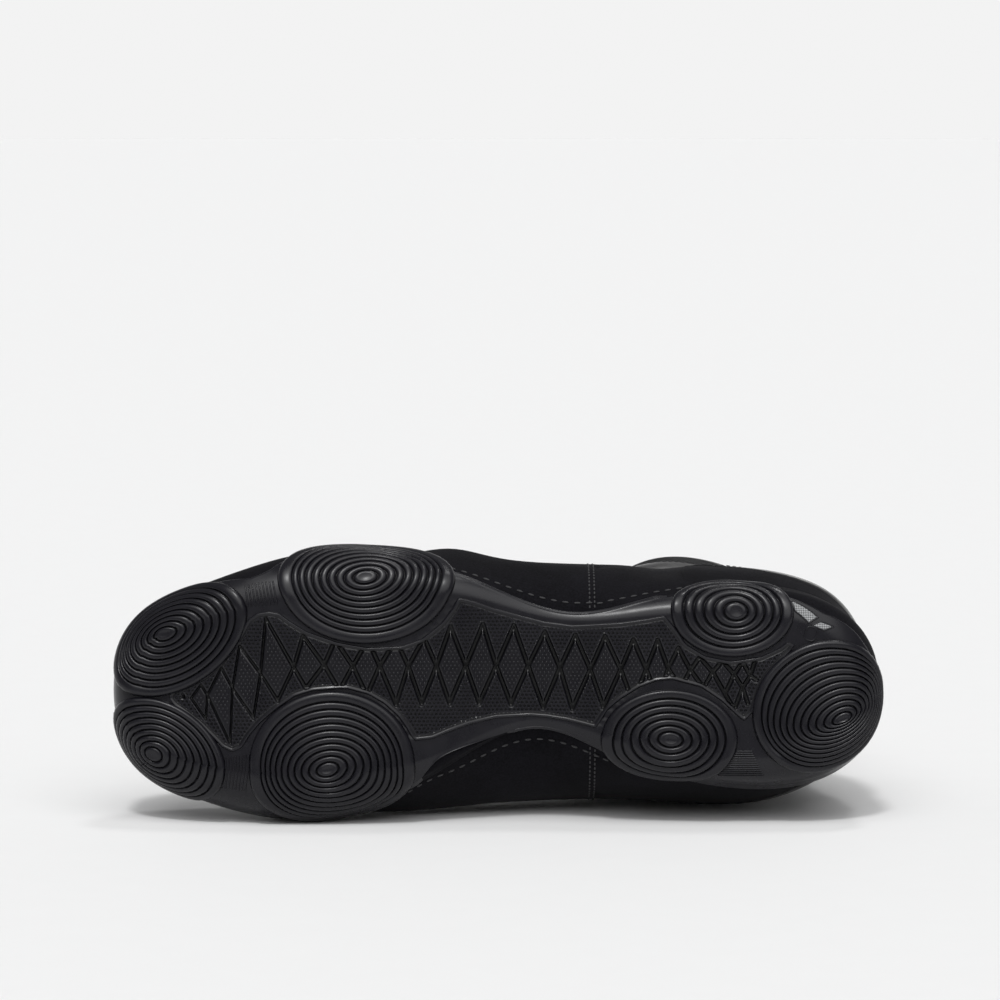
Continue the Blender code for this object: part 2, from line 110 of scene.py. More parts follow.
def throughKnots(knots, values, at):
    knots, values = np.asarray(knots, float), np.asarray(values, float)
    steps = np.diff(knots)
    slopes = knotSlopes(np.diff(values) / steps, steps)
    at = np.clip(np.asarray(at, float), knots[0], knots[-1])
    k = np.clip(np.searchsorted(knots, at, side="right") - 1, 0, len(steps) - 1)
    t = (at - knots[k]) / steps[k]
    return cubic(values[k], values[k + 1], slopes[k] * steps[k], slopes[k + 1] * steps[k], t)


def turnAt(share):
    return np.arccos(1 - 2 * np.asarray(share, float))


def wholeTurn(turn):
    return (np.asarray(turn, float) + np.pi) % (2 * np.pi) - np.pi


def soleProfile(x):  # toe spring, arch and heel of the ground line
    x = np.asarray(x, float)
    (archFrom, archLong), (heelFrom, heelLong) = shoe["arch"], shoe["heel"]
    toe = shoe["toeSpring"] * np.clip((shoe["toe"] - x) / shoe["toe"], 0, None) ** 2
    arch = shoe["archRise"] * np.sin(np.pi * np.clip((x - archFrom) / archLong, 0, 1)) ** 2
    return toe + arch + shoe["heelRise"] * np.clip((x - heelFrom) / heelLong, 0, None) ** 2


def groundNormal(x):
    return unit(np.column_stack((soleProfile(x + 0.5) - soleProfile(x - 0.5), 0 * x, -np.ones_like(x))))


def halfLoop(turn, turns, widths, nose, back):
    shape = np.concatenate(([nose], np.asarray(widths) / np.sin(turns), [back]))
    return throughKnots(np.concatenate(([0.0], turns, [np.pi])), shape, turn) * np.sin(turn)


outlineTable = shoe["outline"]
soleFront, soleBack = outlineTable[0, 0], outlineTable[-1, 0]
lateralTurns = turnAt((outlineTable[:, 0] - soleFront) / (soleBack - soleFront))
medialTurns = turnAt((outlineTable[:, 2] - soleFront) / (soleBack - soleFront))


def stationAt(turn, column):
    size = np.abs(turn)
    values = outlineTable[:, column]
    return np.where(turn < 0, throughKnots(lateralTurns, values, size), throughKnots(medialTurns, values, size))


def soleOutline(turn):
    turn = wholeTurn(turn)
    size = np.abs(turn)
    lateral, medial = outlineTable[:, 1], outlineTable[:, 3]
    x = soleFront + (soleBack - soleFront) * (1 - np.cos(size)) / 2
    y = np.where(turn < 0, -halfLoop(size, lateralTurns[1:-1], lateral[1:-1], lateral[0], lateral[-1]),
                 halfLoop(size, medialTurns[1:-1], medial[1:-1], medial[0], medial[-1]))
    return np.stack((x, y + shoe["midLine"]), -1)


def outwardAt(turn):
    along = soleOutline(turn + 2e-3) - soleOutline(turn - 2e-3)
    return unit(np.stack((-along[..., 1], along[..., 0]), -1))


def flatEdge(turn):
    return soleOutline(turn) - outwardAt(turn) * stationAt(turn, 4)[..., None]


def lastRows(turn):
    size = np.abs(turn)
    edge = flatEdge(turn)
    keel = (edge + flatEdge(-turn)) / 2
    found = [np.column_stack((keel, soleProfile(keel[:, 0]) + floorLift))]
    radius = stationAt(turn, 4)
    inner = radius - soleFace
    for share in (0.0, 1 / 3, 2 / 3, 1.0):
        angle = np.radians(stationAt(turn, 5)) * share
        plan = edge + outwardAt(turn) * (inner * np.sin(angle))[:, None]
        height = soleProfile(plan[:, 0]) + shoe["podHeight"] + radius - inner * np.cos(angle)
        found.append(np.column_stack((plan, height)))
    turns = turnAt(shoe["loopShares"])
    share = (1 - np.cos(size)) / 2
    for frontX, frontZ, backX, backZ, nose, lateral, medial, back in shoe["loops"]:
        y = np.where(turn < 0, -halfLoop(size, turns, lateral, nose, back), halfLoop(size, turns, medial, nose, back))
        found.append(np.column_stack((frontX + (backX - frontX) * share, y + shoe["midLine"],
                                      frontZ + (backZ - frontZ) * share)))
    return np.array(found)


def lastPoint(turn, row):
    turn = wholeTurn(np.atleast_1d(turn))
    row = np.broadcast_to(np.asarray(row, float), turn.shape)
    points = lastRows(turn)
    steps = np.linalg.norm(np.diff(points, axis=0), axis=-1)[..., None] + 1e-6
    slopes = knotSlopes(np.diff(points, axis=0) / steps, steps)
    out = outwardAt(turn)
    x = points[1, :, 0]
    slopes[1] = np.column_stack((out, (soleProfile(x + 0.5) - soleProfile(x - 0.5)) * out[:, 0]))
    k = np.clip(np.floor(row).astype(int), 0, len(points) - 2)
    n = np.arange(len(turn))
    step = steps[k, n]
    found = cubic(points[k, n], points[k + 1, n], slopes[k, n] * step, slopes[k + 1, n] * step, (row - k)[:, None])
    plan = points[0] + (points[1] - points[0]) * row[:, None]
    flat = np.column_stack((plan[:, :2], soleProfile(plan[:, 0]) + floorLift))
    return np.where((row < 1.0)[:, None], flat, found)


def lastNormal(turn, row):
    turn = np.atleast_1d(np.asarray(turn, float))
    row = np.broadcast_to(np.asarray(row, float), turn.shape)
    roundIt = lastPoint(turn + 2e-3, row) - lastPoint(turn - 2e-3, row)
    upIt = lastPoint(turn, np.clip(row + 1e-3, 0, 12)) - lastPoint(turn, np.clip(row - 1e-3, 0, 12))
    out = np.cross(upIt, roundIt)
    out = np.where((row < 1.0)[:, None], groundNormal(lastPoint(turn, row)[:, 0]), out)
    return out / (np.linalg.norm(out, axis=-1, keepdims=True) + 1e-12)


def offLast(turn, row, away):
    turn, row, away = np.broadcast_arrays(np.asarray(turn, float), np.asarray(row, float), np.asarray(away, float))
    flat = lastPoint(turn.ravel(), row.ravel()) + lastNormal(turn.ravel(), row.ravel()) * away.ravel()[:, None]
    return flat.reshape(turn.shape + (3,))


arcTurns = np.linspace(-np.pi, np.pi, 361)
arcRows = np.linspace(1.0, 6.5, 56)
arcFace = offLast(arcTurns[:, None], arcRows[None, :], soleFace)
arcLengths = np.concatenate((np.zeros((361, 1)),
                             np.cumsum(np.linalg.norm(np.diff(arcFace, axis=1), axis=-1), axis=1)), axis=1)
arcEdge = flatEdge(arcTurns)
arcSlope = np.gradient(arcEdge, arcTurns, axis=0)


def onSole(plan, lift):  # wraps a point of the sole's flat pattern round the rubber's outer face
    plan = np.asarray(plan, float).reshape(-1, 2)
    lift = np.broadcast_to(np.asarray(lift, float).ravel(), plan.shape[:1])
    nearest = np.concatenate([np.argmin(((part[:, None] - arcEdge[None]) ** 2).sum(-1), axis=1)
                              for part in np.array_split(plan, max(1, len(plan) // 4000))])
    slope = arcSlope[nearest]
    turn = arcTurns[nearest] + np.clip(((plan - arcEdge[nearest]) * slope).sum(-1) / (slope**2).sum(-1), -0.02, 0.02)
    turn = wholeTurn(turn)
    past = ((plan - flatEdge(turn)) * outwardAt(turn)).sum(-1)
    place = (turn + np.pi) / (arcTurns[1] - arcTurns[0])
    low = np.clip(np.floor(place).astype(int), 0, len(arcTurns) - 2)
    share = place - low
    row = np.array([(1 - s) * np.interp(p, arcLengths[k], arcRows) + s * np.interp(p, arcLengths[k + 1], arcRows)
                    for p, k, s in zip(past, low, share)])
    wrapped = offLast(turn, row, soleFace + lift)
    x = plan[:, 0]
    flat = np.column_stack((plan, soleProfile(x) + shoe["podHeight"])) + groundNormal(x) * lift[:, None]
    return np.where((past > 0)[:, None], wrapped, flat)


def throatAt(row):
    return np.radians(np.interp(row, shoe["throatRow"], shoe["throatTurn"]))


def columnTurn(row, column):  # the turn of one of the columns between the throat and the heel
    return throatAt(row) + (np.pi - throatAt(row)) * column / shoe["columns"]


def rowLength(turn, row):
    points = lastRows(turn)
    return np.linalg.norm(points[row + 1] - points[row], axis=-1)


def soleTop(turn):  # the row where the rubber ends
    turn = np.atleast_1d(turn)
    return 4.0 + stationAt(turn, 6) / rowLength(turn, 4)


def bump(x, middle, width):
    return np.exp(-((np.asarray(x, float) - middle) / width) ** 2)


def ramp(x, start, end):
    t = np.clip((np.asarray(x, float) - start) / (end - start), 0, 1)
    return t * t * (3 - 2 * t)


def between(value, start, full, fade, end):  # rises to one and falls again
    return ramp(value, start, full) * (1 - ramp(value, fade, end))


def smoothed(table, fine, reach, width, ends):  # a table read at many places and rounded off
    kernel = bump(np.arange(-reach, reach + 1), 0, width)
    values = np.interp(fine, table[:, 0], table[:, 1])
    return np.convolve(np.pad(values, reach, mode=ends), kernel / kernel.sum(), mode="valid")


def pathLength(path):
    return np.concatenate(([0], np.cumsum(np.linalg.norm(np.diff(path, axis=0), axis=-1))))


def rounded(value, power):  # squares off a sine or cosine
    return np.sign(value) * np.abs(value) ** power


print("shape of the last ready")


# Mesh helpers

def gridFaces(rows, columns, first=0, wrap=False):
    start = np.arange(rows - 1)[:, None] * columns + first
    across = np.arange(columns if wrap else columns - 1)
    here, beside = start + across, start + (across + 1) % columns
    return np.stack((here, here + columns, beside + columns, beside), -1).reshape(-1, 4)


def addObject(name, data):
    item = bpy.data.objects.new(name, data)
    bpy.context.scene.collection.objects.link(item)
    return item


def addMesh(name, points, faces, material, outward=True, marks=None):
    data = bpy.data.meshes.new(name)
    places = toWorld(points)
    places[:, 2] = np.maximum(places[:, 2], shoe["onFloor"])  # what lies on the floor is flattened by it
    data.from_pydata(places.tolist(), [], [tuple(f) for f in np.asarray(faces).tolist()])
    for label, values in (marks or {}).items():
        mark = data.attributes.new(label, "FLOAT", "POINT")
        mark.data.foreach_set("value", np.asarray(values, np.float32).ravel())
    work = bmesh.new()
    work.from_mesh(data)
    bmesh.ops.remove_doubles(work, verts=work.verts, dist=shoe["weld"])
    bmesh.ops.dissolve_degenerate(work, edges=work.edges, dist=shoe["sliver"])
    if outward and work.calc_volume(signed=True) < 0:
        bmesh.ops.reverse_faces(work, faces=work.faces)
    for face in work.faces:
        face.smooth = True
    work.to_mesh(data)
    work.free()
    data.materials.append(material)
    return addObject(name, data)


def addGrid(name, grid, material, wrap=False, marks=None):
    rows, columns = grid.shape[:2]
    return addMesh(name, grid.reshape(-1, 3), gridFaces(rows, columns, wrap=wrap), material, marks=marks)


def rimOf(grid):  # the outer ring of a grid, once round
    return np.concatenate((grid[0, :-1], grid[:-1, -1], grid[-1, :0:-1], grid[:0:-1, 0]))


def addPlate(name, outer, inner, material, marks=None):  # closed wall between two grids of the same size
    rows, columns = outer.shape[:2]
    count = rows * columns
    faces = [gridFaces(rows, columns), gridFaces(rows, columns, count)[:, ::-1]]
    rim = rimOf(np.arange(count).reshape(rows, columns))
    after = np.roll(rim, -1)
    faces.append(np.stack((rim, after, after + count, rim + count), -1))
    points = np.concatenate((outer.reshape(-1, 3), inner.reshape(-1, 3)))
    if marks:
        marks = {k: np.concatenate((np.ravel(v), np.ravel(v))) for k, v in marks.items()}
    return addMesh(name, points, np.concatenate(faces), material, marks=marks)


def capped(path, grid):  # closes both ends of a tube
    sides = grid.shape[1]
    return np.concatenate((np.repeat(path[:1, None], sides, axis=1), grid, np.repeat(path[-1:, None], sides, axis=1)))


def keepModifiers(item):  # turns an object with modifiers into a plain mesh
    bpy.context.view_layer.update()
    graph = bpy.context.evaluated_depsgraph_get()
    plain = bpy.data.meshes.new_from_object(item.evaluated_get(graph), depsgraph=graph)
    item.modifiers.clear()
    item.data = plain
    return item


def settle(item, replaces=None):
    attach(item, "root")
    if replaces:
        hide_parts(replaces)


# Material helpers

def addNode(tree, kind, **values):
    made = tree.nodes.new(kind)
    for key, value in values.items():
        setattr(made, key, value)
    return made


def feed(tree, socket, value):  # a number, a colour or the output of another node
    if isinstance(value, tuple):
        socket.default_value = (*value, 1.0)
    elif isinstance(value, (int, float)):
        socket.default_value = value
    else:
        tree.links.new(value, socket)


def newFinish(name, colour, roughness, levels):
    finish = bpy.data.materials.new(name)
    finish.use_nodes = True
    shader = finish.node_tree.nodes["Principled BSDF"]
    for label, value in {"Base Color": colour, "Roughness": roughness, **levels}.items():
        feed(finish.node_tree, shader.inputs[label], value)
    return finish, finish.node_tree, shader


def objectCoords(tree, scale=1.0):
    mapping = addNode(tree, "ShaderNodeMapping")
    mapping.inputs["Scale"].default_value = (scale, scale, scale)
    tree.links.new(addNode(tree, "ShaderNodeTexCoord").outputs["Object"], mapping.inputs["Vector"])
    return mapping.outputs["Vector"]


def noiseOn(tree, scale, detail=3.0, roughness=0.55):
    noise = addNode(tree, "ShaderNodeTexNoise")
    tree.links.new(objectCoords(tree), noise.inputs["Vector"])
    for label, value in (("Scale", scale), ("Detail", detail), ("Roughness", roughness)):
        feed(tree, noise.inputs[label], value)
    return noise.outputs["Fac"]


def mathOn(tree, how, *values):
    node = addNode(tree, "ShaderNodeMath", operation=how)
    for socket, value in zip(node.inputs, values):
        feed(tree, socket, value)
    return node.outputs[0]


def weighed(tree, first, firstShare, second, secondShare):
    return mathOn(tree, "ADD", mathOn(tree, "MULTIPLY", first, firstShare),
                  mathOn(tree, "MULTIPLY", second, secondShare))


def mixColours(tree, factor, first, second):
    mix = addNode(tree, "ShaderNodeMix", data_type="RGBA")
    for k, value in ((0, factor), (6, first), (7, second)):
        feed(tree, mix.inputs[k], value)
    return mix.outputs[2]


def spread(tree, value, low, high, toLow=0.0, toHigh=1.0):
    node = addNode(tree, "ShaderNodeMapRange")
    for socket, number in zip(node.inputs, (value, low, high, toLow, toHigh)):
        feed(tree, socket, number)
    return node.outputs[0]


def bumpFrom(tree, shader, height, distance, strength):
    node = addNode(tree, "ShaderNodeBump")
    for label, value in (("Distance", distance), ("Strength", strength), ("Height", height)):
        feed(tree, node.inputs[label], value)
    tree.links.new(node.outputs["Normal"], shader.inputs["Normal"])


def markOn(tree, name):
    return addNode(tree, "ShaderNodeAttribute", attribute_name=name).outputs["Fac"]


def hexDots(tree, pitch):  # distance in millimetres to the nearest point of a hexagonal grid on the sole
    parts = addNode(tree, "ShaderNodeSeparateXYZ")
    tree.links.new(objectCoords(tree, 1000.0), parts.inputs[0])
    found = []
    for shift in (0.0, 0.5):
        sides = []
        for axis, size in ((0, pitch), (2, pitch * math.sqrt(3))):
            cell = mathOn(tree, "FRACT", mathOn(tree, "ADD", mathOn(tree, "DIVIDE", parts.outputs[axis], size), shift))
            sides.append(mathOn(tree, "MULTIPLY", mathOn(tree, "SUBTRACT", cell, 0.5), size))
        squares = [mathOn(tree, "MULTIPLY", s, s) for s in sides]
        found.append(mathOn(tree, "SQRT", mathOn(tree, "ADD", *squares)))
    return mathOn(tree, "MINIMUM", *found)


# Rubber: near black, satin, with a random worn tone and fine mould texture; the groove colour is painted shade, laid
# into the grooves, the pods' feet, the panel's border and the pits
rubberLook = {"colour": (0.0066, 0.0063, 0.0090), "groove": (0.0006, 0.0006, 0.0009), "worn": (0.0100, 0.0096, 0.0128),
              "roughness": (0.24, 0.34), "grain": 900.0, "grainDepth": 0.000012,
              "pitPitch": 1.55, "pitRadius": 0.44, "pitEdge": (0.55, 1.25), "pitDepth": 0.0006}


def rubberFinish(name, pits):
    look = rubberLook
    finish, tree, shader = newFinish(name, look["colour"], 0.48, {"Specular IOR Level": 0.3})
    colour = mixColours(tree, spread(tree, noiseOn(tree, 38.0, 4.0), 0.42, 0.72), look["colour"], look["worn"])
    # painted shade: this mark pulls the colour towards the dark groove colour in grooves, at the pods' feet and along
    # the panel's border
    colour = mixColours(tree, markOn(tree, "paintedShadeAndTone"), colour, look["groove"])
    height = mathOn(tree, "MULTIPLY", noiseOn(tree, look["grain"], 2.0), look["grainDepth"])
    if pits:
        inner, outer = (look["pitRadius"] * share for share in look["pitEdge"])
        pitDepthAndShade = spread(tree, hexDots(tree, look["pitPitch"]), inner, outer, 1.0, 0.0)
        pitDepthAndShade = mathOn(tree, "MULTIPLY", pitDepthAndShade, markOn(tree, "pits"))
        # painted shade in the pits: besides their dent in the bump they take the dark groove colour
        colour = mixColours(tree, pitDepthAndShade, colour, look["groove"])
        height = mathOn(tree, "SUBTRACT", height, mathOn(tree, "MULTIPLY", pitDepthAndShade, look["pitDepth"]))
    tree.links.new(colour, shader.inputs["Base Color"])
    tree.links.new(spread(tree, noiseOn(tree, 140.0), 0.3, 0.7, *look["roughness"]), shader.inputs["Roughness"])
    bumpFrom(tree, shader, height, 1.0, 0.8)
    return finish


def suedeFinish(name, colour, lit, nap):
    finish, tree, shader = newFinish(name, colour, 0.92, {"Specular IOR Level": 0.08, "Sheen Weight": 0.03,
                                                          "Sheen Roughness": 0.55})
    brushed, fibres = noiseOn(tree, 55.0, 5.0, 0.6), noiseOn(tree, nap, 2.0, 0.7)
    shade = spread(tree, weighed(tree, brushed, 0.35, fibres, 0.65), 0.36, 0.64)
    tree.links.new(mixColours(tree, shade, colour, lit), shader.inputs["Base Color"])
    bumpFrom(tree, shader, weighed(tree, fibres, 0.00016, brushed, 0.00025), 1.0, 0.7)
    return finish


def glossFinish(name, colour, roughness, grain):
    finish, tree, shader = newFinish(name, colour, roughness, {"Specular IOR Level": 0.3, "Coat Weight": 0.15,
                                                               "Coat Roughness": 0.18})
    cells = addNode(tree, "ShaderNodeTexVoronoi")
    cells.inputs["Scale"].default_value = grain
    tree.links.new(objectCoords(tree), cells.inputs["Vector"])
    scuffs = noiseOn(tree, 90.0, 5.0)
    tree.links.new(spread(tree, scuffs, 0.35, 0.7, roughness - 0.06, roughness + 0.14), shader.inputs["Roughness"])
    tree.links.new(mixColours(tree, spread(tree, scuffs, 0.4, 0.7), colour, tuple(c * 1.5 for c in colour)),
                   shader.inputs["Base Color"])
    bumpFrom(tree, shader, cells.outputs["Distance"], 0.00009, 0.5)
    return finish


def weaveFinish(name, colour, gap, pitch, roughness=0.85, relief=0.0002):
    # plain weave on the piece's own surface measures, in millimetres
    finish, tree, shader = newFinish(name, colour, roughness, {"Sheen Weight": 0.08, "Specular IOR Level": 0.3})
    waves = [mathOn(tree, "SINE", mathOn(tree, "MULTIPLY", markOn(tree, label), 2 * math.pi / pitch))
             for label in ("alongMm", "acrossMm")]
    height = spread(tree, mathOn(tree, "MULTIPLY", *waves), -1.0, 1.0)
    shade = weighed(tree, height, 0.75, noiseOn(tree, 2200.0, 2.0), 0.25)
    tree.links.new(mixColours(tree, shade, gap, colour), shader.inputs["Base Color"])
    bumpFrom(tree, shader, shade, relief, 0.8)
    return finish


rubber = rubberFinish("sole_rubber", False)
dottedRubber = rubberFinish("tread_rubber", True)
suede = suedeFinish("black_suede", (0.0014, 0.0013, 0.0020), (0.0072, 0.0068, 0.0094), 1500.0)
trim = glossFinish("smooth_trim", (0.0036, 0.0035, 0.0042), 0.30, 1500.0)
binding = glossFinish("soft_binding", (0.0075, 0.0075, 0.0080), 0.45, 1900.0)
lining = weaveFinish("lining_knit", (0.022, 0.022, 0.024), (0.006, 0.006, 0.006), 1.5)
tongueCloth = weaveFinish("tongue_mesh", (0.024, 0.024, 0.026), (0.005, 0.005, 0.006), 1.8)
laceCloth = weaveFinish("lace_weave", (0.020, 0.020, 0.021), (0.005, 0.005, 0.005), 1.0)
footbed = weaveFinish("footbed_cloth", (0.045, 0.045, 0.048), (0.015, 0.015, 0.016), 1.3)
windowCloth = weaveFinish("window_mesh", (0.48, 0.49, 0.50), (0.008, 0.008, 0.009), 1.7, 0.4, 0.0004)
thread, threadTree, threadShader = newFinish("sewing_thread", (0.016, 0.016, 0.017), 0.6, {"Specular IOR Level": 0.4})
twist = addNode(threadTree, "ShaderNodeTexWave")
twist.inputs["Scale"].default_value = 900.0
threadTree.links.new(objectCoords(threadTree), twist.inputs["Vector"])
threadTree.links.new(mixColours(threadTree, twist.outputs["Fac"], (0.026, 0.026, 0.028), (0.070, 0.070, 0.073)),
                     threadShader.inputs["Base Color"])
bumpFrom(threadTree, threadShader, twist.outputs["Fac"], 0.0001, 1.0)
print("finishes ready")


# Geometry Nodes trees: beads set on points, and round cords swept along edges

def startTree(name, inputs):
    tree = bpy.data.node_groups.new(name, "GeometryNodeTree")
    tree.interface.new_socket("Geometry", in_out="INPUT", socket_type="NodeSocketGeometry")
    for label, kind, value in inputs:
        socket = tree.interface.new_socket(label, in_out="INPUT", socket_type=kind)
        if value is not None:
            socket.default_value = value
    tree.interface.new_socket("Geometry", in_out="OUTPUT", socket_type="NodeSocketGeometry")
    return tree, addNode(tree, "NodeGroupInput"), addNode(tree, "NodeGroupOutput")


def finishTree(tree, made, given, result):  # real, smooth and coated
    for kind in ("RealizeInstances", "SetShadeSmooth", "SetMaterial"):
        node = addNode(tree, "GeometryNode" + kind)
        tree.links.new(made, node.inputs["Geometry"])
        made = node.outputs["Geometry"]
    tree.links.new(given.outputs["Finish"], node.inputs["Material"])
    tree.links.new(made, result.inputs["Geometry"])
    return tree


def beadTree():  # a flattened ball on every point, turned by the point's own along and facing
    tree, given, result = startTree("beads on points", (
        ("Length", "NodeSocketFloat", 0.003), ("Width", "NodeSocketFloat", 0.0008),
        ("Height", "NodeSocketFloat", 0.0007), ("Segments", "NodeSocketInt", 8), ("Rings", "NodeSocketInt", 5),
        ("Finish", "NodeSocketMaterial", None)))
    ball = addNode(tree, "GeometryNodeMeshUVSphere")
    ball.inputs["Radius"].default_value = 0.5
    tree.links.new(given.outputs["Segments"], ball.inputs["Segments"])
    tree.links.new(given.outputs["Rings"], ball.inputs["Rings"])
    size = addNode(tree, "ShaderNodeCombineXYZ")
    for k, label in enumerate(("Length", "Width", "Height")):
        tree.links.new(given.outputs[label], size.inputs[k])
    turned = None
    for label, axis, pivot in (("facing", "Z", "AUTO"), ("along", "X", "Z")):
        reader = addNode(tree, "GeometryNodeInputNamedAttribute", data_type="FLOAT_VECTOR")
        reader.inputs["Name"].default_value = label
        align = addNode(tree, "FunctionNodeAlignRotationToVector", axis=axis, pivot_axis=pivot)
        tree.links.new(reader.outputs["Attribute"], align.inputs["Vector"])
        if turned is not None:
            tree.links.new(turned, align.inputs["Rotation"])
        turned = align.outputs["Rotation"]
    place = addNode(tree, "GeometryNodeInstanceOnPoints")
    tree.links.new(given.outputs["Geometry"], place.inputs["Points"])
    tree.links.new(ball.outputs["Mesh"], place.inputs["Instance"])
    tree.links.new(turned, place.inputs["Rotation"])
    tree.links.new(size.outputs[0], place.inputs["Scale"])
    return finishTree(tree, place.outputs["Instances"], given, result)


def cordTree():  # a round cord along every chain of edges
    tree, given, result = startTree("cords on edges", (
        ("Radius", "NodeSocketFloat", 0.0005), ("Sides", "NodeSocketInt", 8), ("Finish", "NodeSocketMaterial", None)))
    curve = addNode(tree, "GeometryNodeMeshToCurve")
    ring = addNode(tree, "GeometryNodeCurvePrimitiveCircle")
    sweep = addNode(tree, "GeometryNodeCurveToMesh")
    sweep.inputs["Fill Caps"].default_value = True
    tree.links.new(given.outputs["Geometry"], curve.inputs["Mesh"])
    tree.links.new(given.outputs["Radius"], ring.inputs["Radius"])
    tree.links.new(given.outputs["Sides"], ring.inputs["Resolution"])
    tree.links.new(curve.outputs["Curve"], sweep.inputs["Curve"])
    tree.links.new(ring.outputs["Curve"], sweep.inputs["Profile Curve"])
    return finishTree(tree, sweep.outputs["Mesh"], given, result)


beads, cords = beadTree(), cordTree()


def runTree(name, guide, tree, values):
    item = addObject(name, guide)
    modifier = item.modifiers.new("build", "NODES")
    modifier.node_group = tree
    for socket in tree.interface.items_tree:
        if socket.in_out == "INPUT" and socket.name in values:
            modifier[socket.identifier] = values[socket.name]
    return keepModifiers(item)


def addBeads(name, points, along, facing, values):
    guide = bpy.data.meshes.new(name)
    guide.from_pydata(toWorld(points).tolist(), [], [])
    for label, vectors in (("along", along), ("facing", facing)):
        mark = guide.attributes.new(label, "FLOAT_VECTOR", "POINT")
        mark.data.foreach_set("vector", turnToWorld(vectors).astype(np.float32).ravel())
    return runTree(name, guide, beads, values)


def addCords(name, lines, values, closed=False):
    points, edges, first = [], [], 0
    for line in lines:
        points.extend(toWorld(line).tolist())
        edges.extend((first + k, first + k + 1) for k in range(len(line) - 1))
        if closed:
            edges.append((first + len(line) - 1, first))
        first += len(line)
    guide = bpy.data.meshes.new(name)
    guide.from_pydata(points, edges, [])
    return runTree(name, guide, cords, values)


# The seven pods: middle, half length and width, turn; then the rings' middle, stretch, turn, number and rim
podShape = {
    "segments": 160, "groove": 1.25, "grooveShare": 0.28, "crown": 0.13, "root": -2.5,
    "pods": {
        "toe_lateral": (25.3, -17.2, 29.0, 18.8, -34.0, 20.8, -18.3, 1.10, 0.92, -20.0, 8, 0.15),
        "toe_medial": (20.5, 26.5, 26.0, 18.0, 38.0, 17.0, 26.3, 0.97, 1.03, 30.0, 8, 0.13),
        "ball_lateral": (95.3, -38.5, 32.2, 24.5, 0.0, 94.3, -38.7, 1.22, 0.88, -4.0, 9, 0.16),
        "ball_medial": (82.6, 30.3, 30.6, 27.4, 0.0, 80.9, 32.2, 1.30, 0.86, -15.0, 10, 0.14),
        "heel_lateral": (230.5, -25.8, 22.8, 17.0, 0.0, 232.0, -25.6, 1.0, 1.0, 0.0, 5, 0.19),
        "heel_medial": (207.0, 21.3, 25.2, 18.5, 0.0, 207.3, 21.4, 1.10, 0.90, 6.0, 6, 0.17),
        "heel_back": (263.7, 9.5, 27.3, 23.8, -32.0, 271.0, 14.3, 1.40, 0.72, -28.0, 11, 0.12),
    },
}


def podRings(rings, rim, width):  # size, lift and painted shade (dark at the rim's foot and in the bottoms of the ring grooves), from the root up over the rim and in to the middle
    height, root = shoe["podHeight"], podShape["root"]
    found = [(0.0, root, 0), (0.6, root, 0), (0.99, root, 0), (1.0, -0.1, 1), (0.998, 0.08, 1), (0.993, 0.45, 0.5),
             (0.986, 0.95, 0.1), (0.974, 1.38, 0), (0.958, 1.70, 0), (0.938, 1.86, 0), (0.915, 1.90, 0)]
    start, share = 1.0 - rim, podShape["grooveShare"]
    crown = podShape["crown"] * width * start / (rings + 0.45)
    edge, floorOfGroove = height - crown, height - podShape["groove"]
    found += [(start + 0.03, 1.84, 0), (start + 0.010, height - 0.1, 0.1)]
    for k in range(rings):
        for f in (0.0, 0.2, 0.4, 0.6, 0.8, 1.0):
            depth = 0.5 - 0.5 * math.cos(2 * math.pi * f)
            found.append((start * (1 - (k + f * share) / (rings + 0.45)), edge + (floorOfGroove - edge) * depth, depth))
        for f in (0.12, 0.3, 0.5, 0.7, 0.88):
            size = start * (1 - (k + share + f * (1 - share)) / (rings + 0.45))
            found.append((size, height + 0.05 - crown * (2 * f - 1) ** 2, 0))
    found.append((0.0, height - 0.1, 0))
    return np.array(found)


spin = np.linspace(0, 2 * np.pi, podShape["segments"], endpoint=False)
for name, (x, y, along, across, angle, ringX, ringY, long, wide, lean, rings, rim) in podShape["pods"].items():
    table = podRings(rings, rim, across)
    size = table[:, :1]
    inward = np.clip((1 - rim - size) / (1 - rim), 0, 1)  # rings drift towards their own middle and shape
    angle = np.radians(angle + (lean - angle) * inward)
    u = along * size * (1 + (long - 1) * inward) * np.cos(spin)
    w = across * size * (1 + (wide - 1) * inward) * np.sin(spin)
    plan = np.stack((x + (ringX - x) * inward + u * np.cos(angle) - w * np.sin(angle),
                     y + (ringY - y) * inward + u * np.sin(angle) + w * np.cos(angle)), -1)
    lift = np.repeat(table[:, 1:2], len(spin), axis=1)
    grid = onSole(plan, lift).reshape(plan.shape[:2] + (3,))
    # the third column of the table is painted shade: the pod's foot and its ring grooves are darkened
    pod = addGrid("pod_" + name, grid, rubber, wrap=True, marks={"paintedShadeAndTone": np.repeat(table[:, 2:], len(spin), axis=1)})
    settle(pod)
print("pods ready")

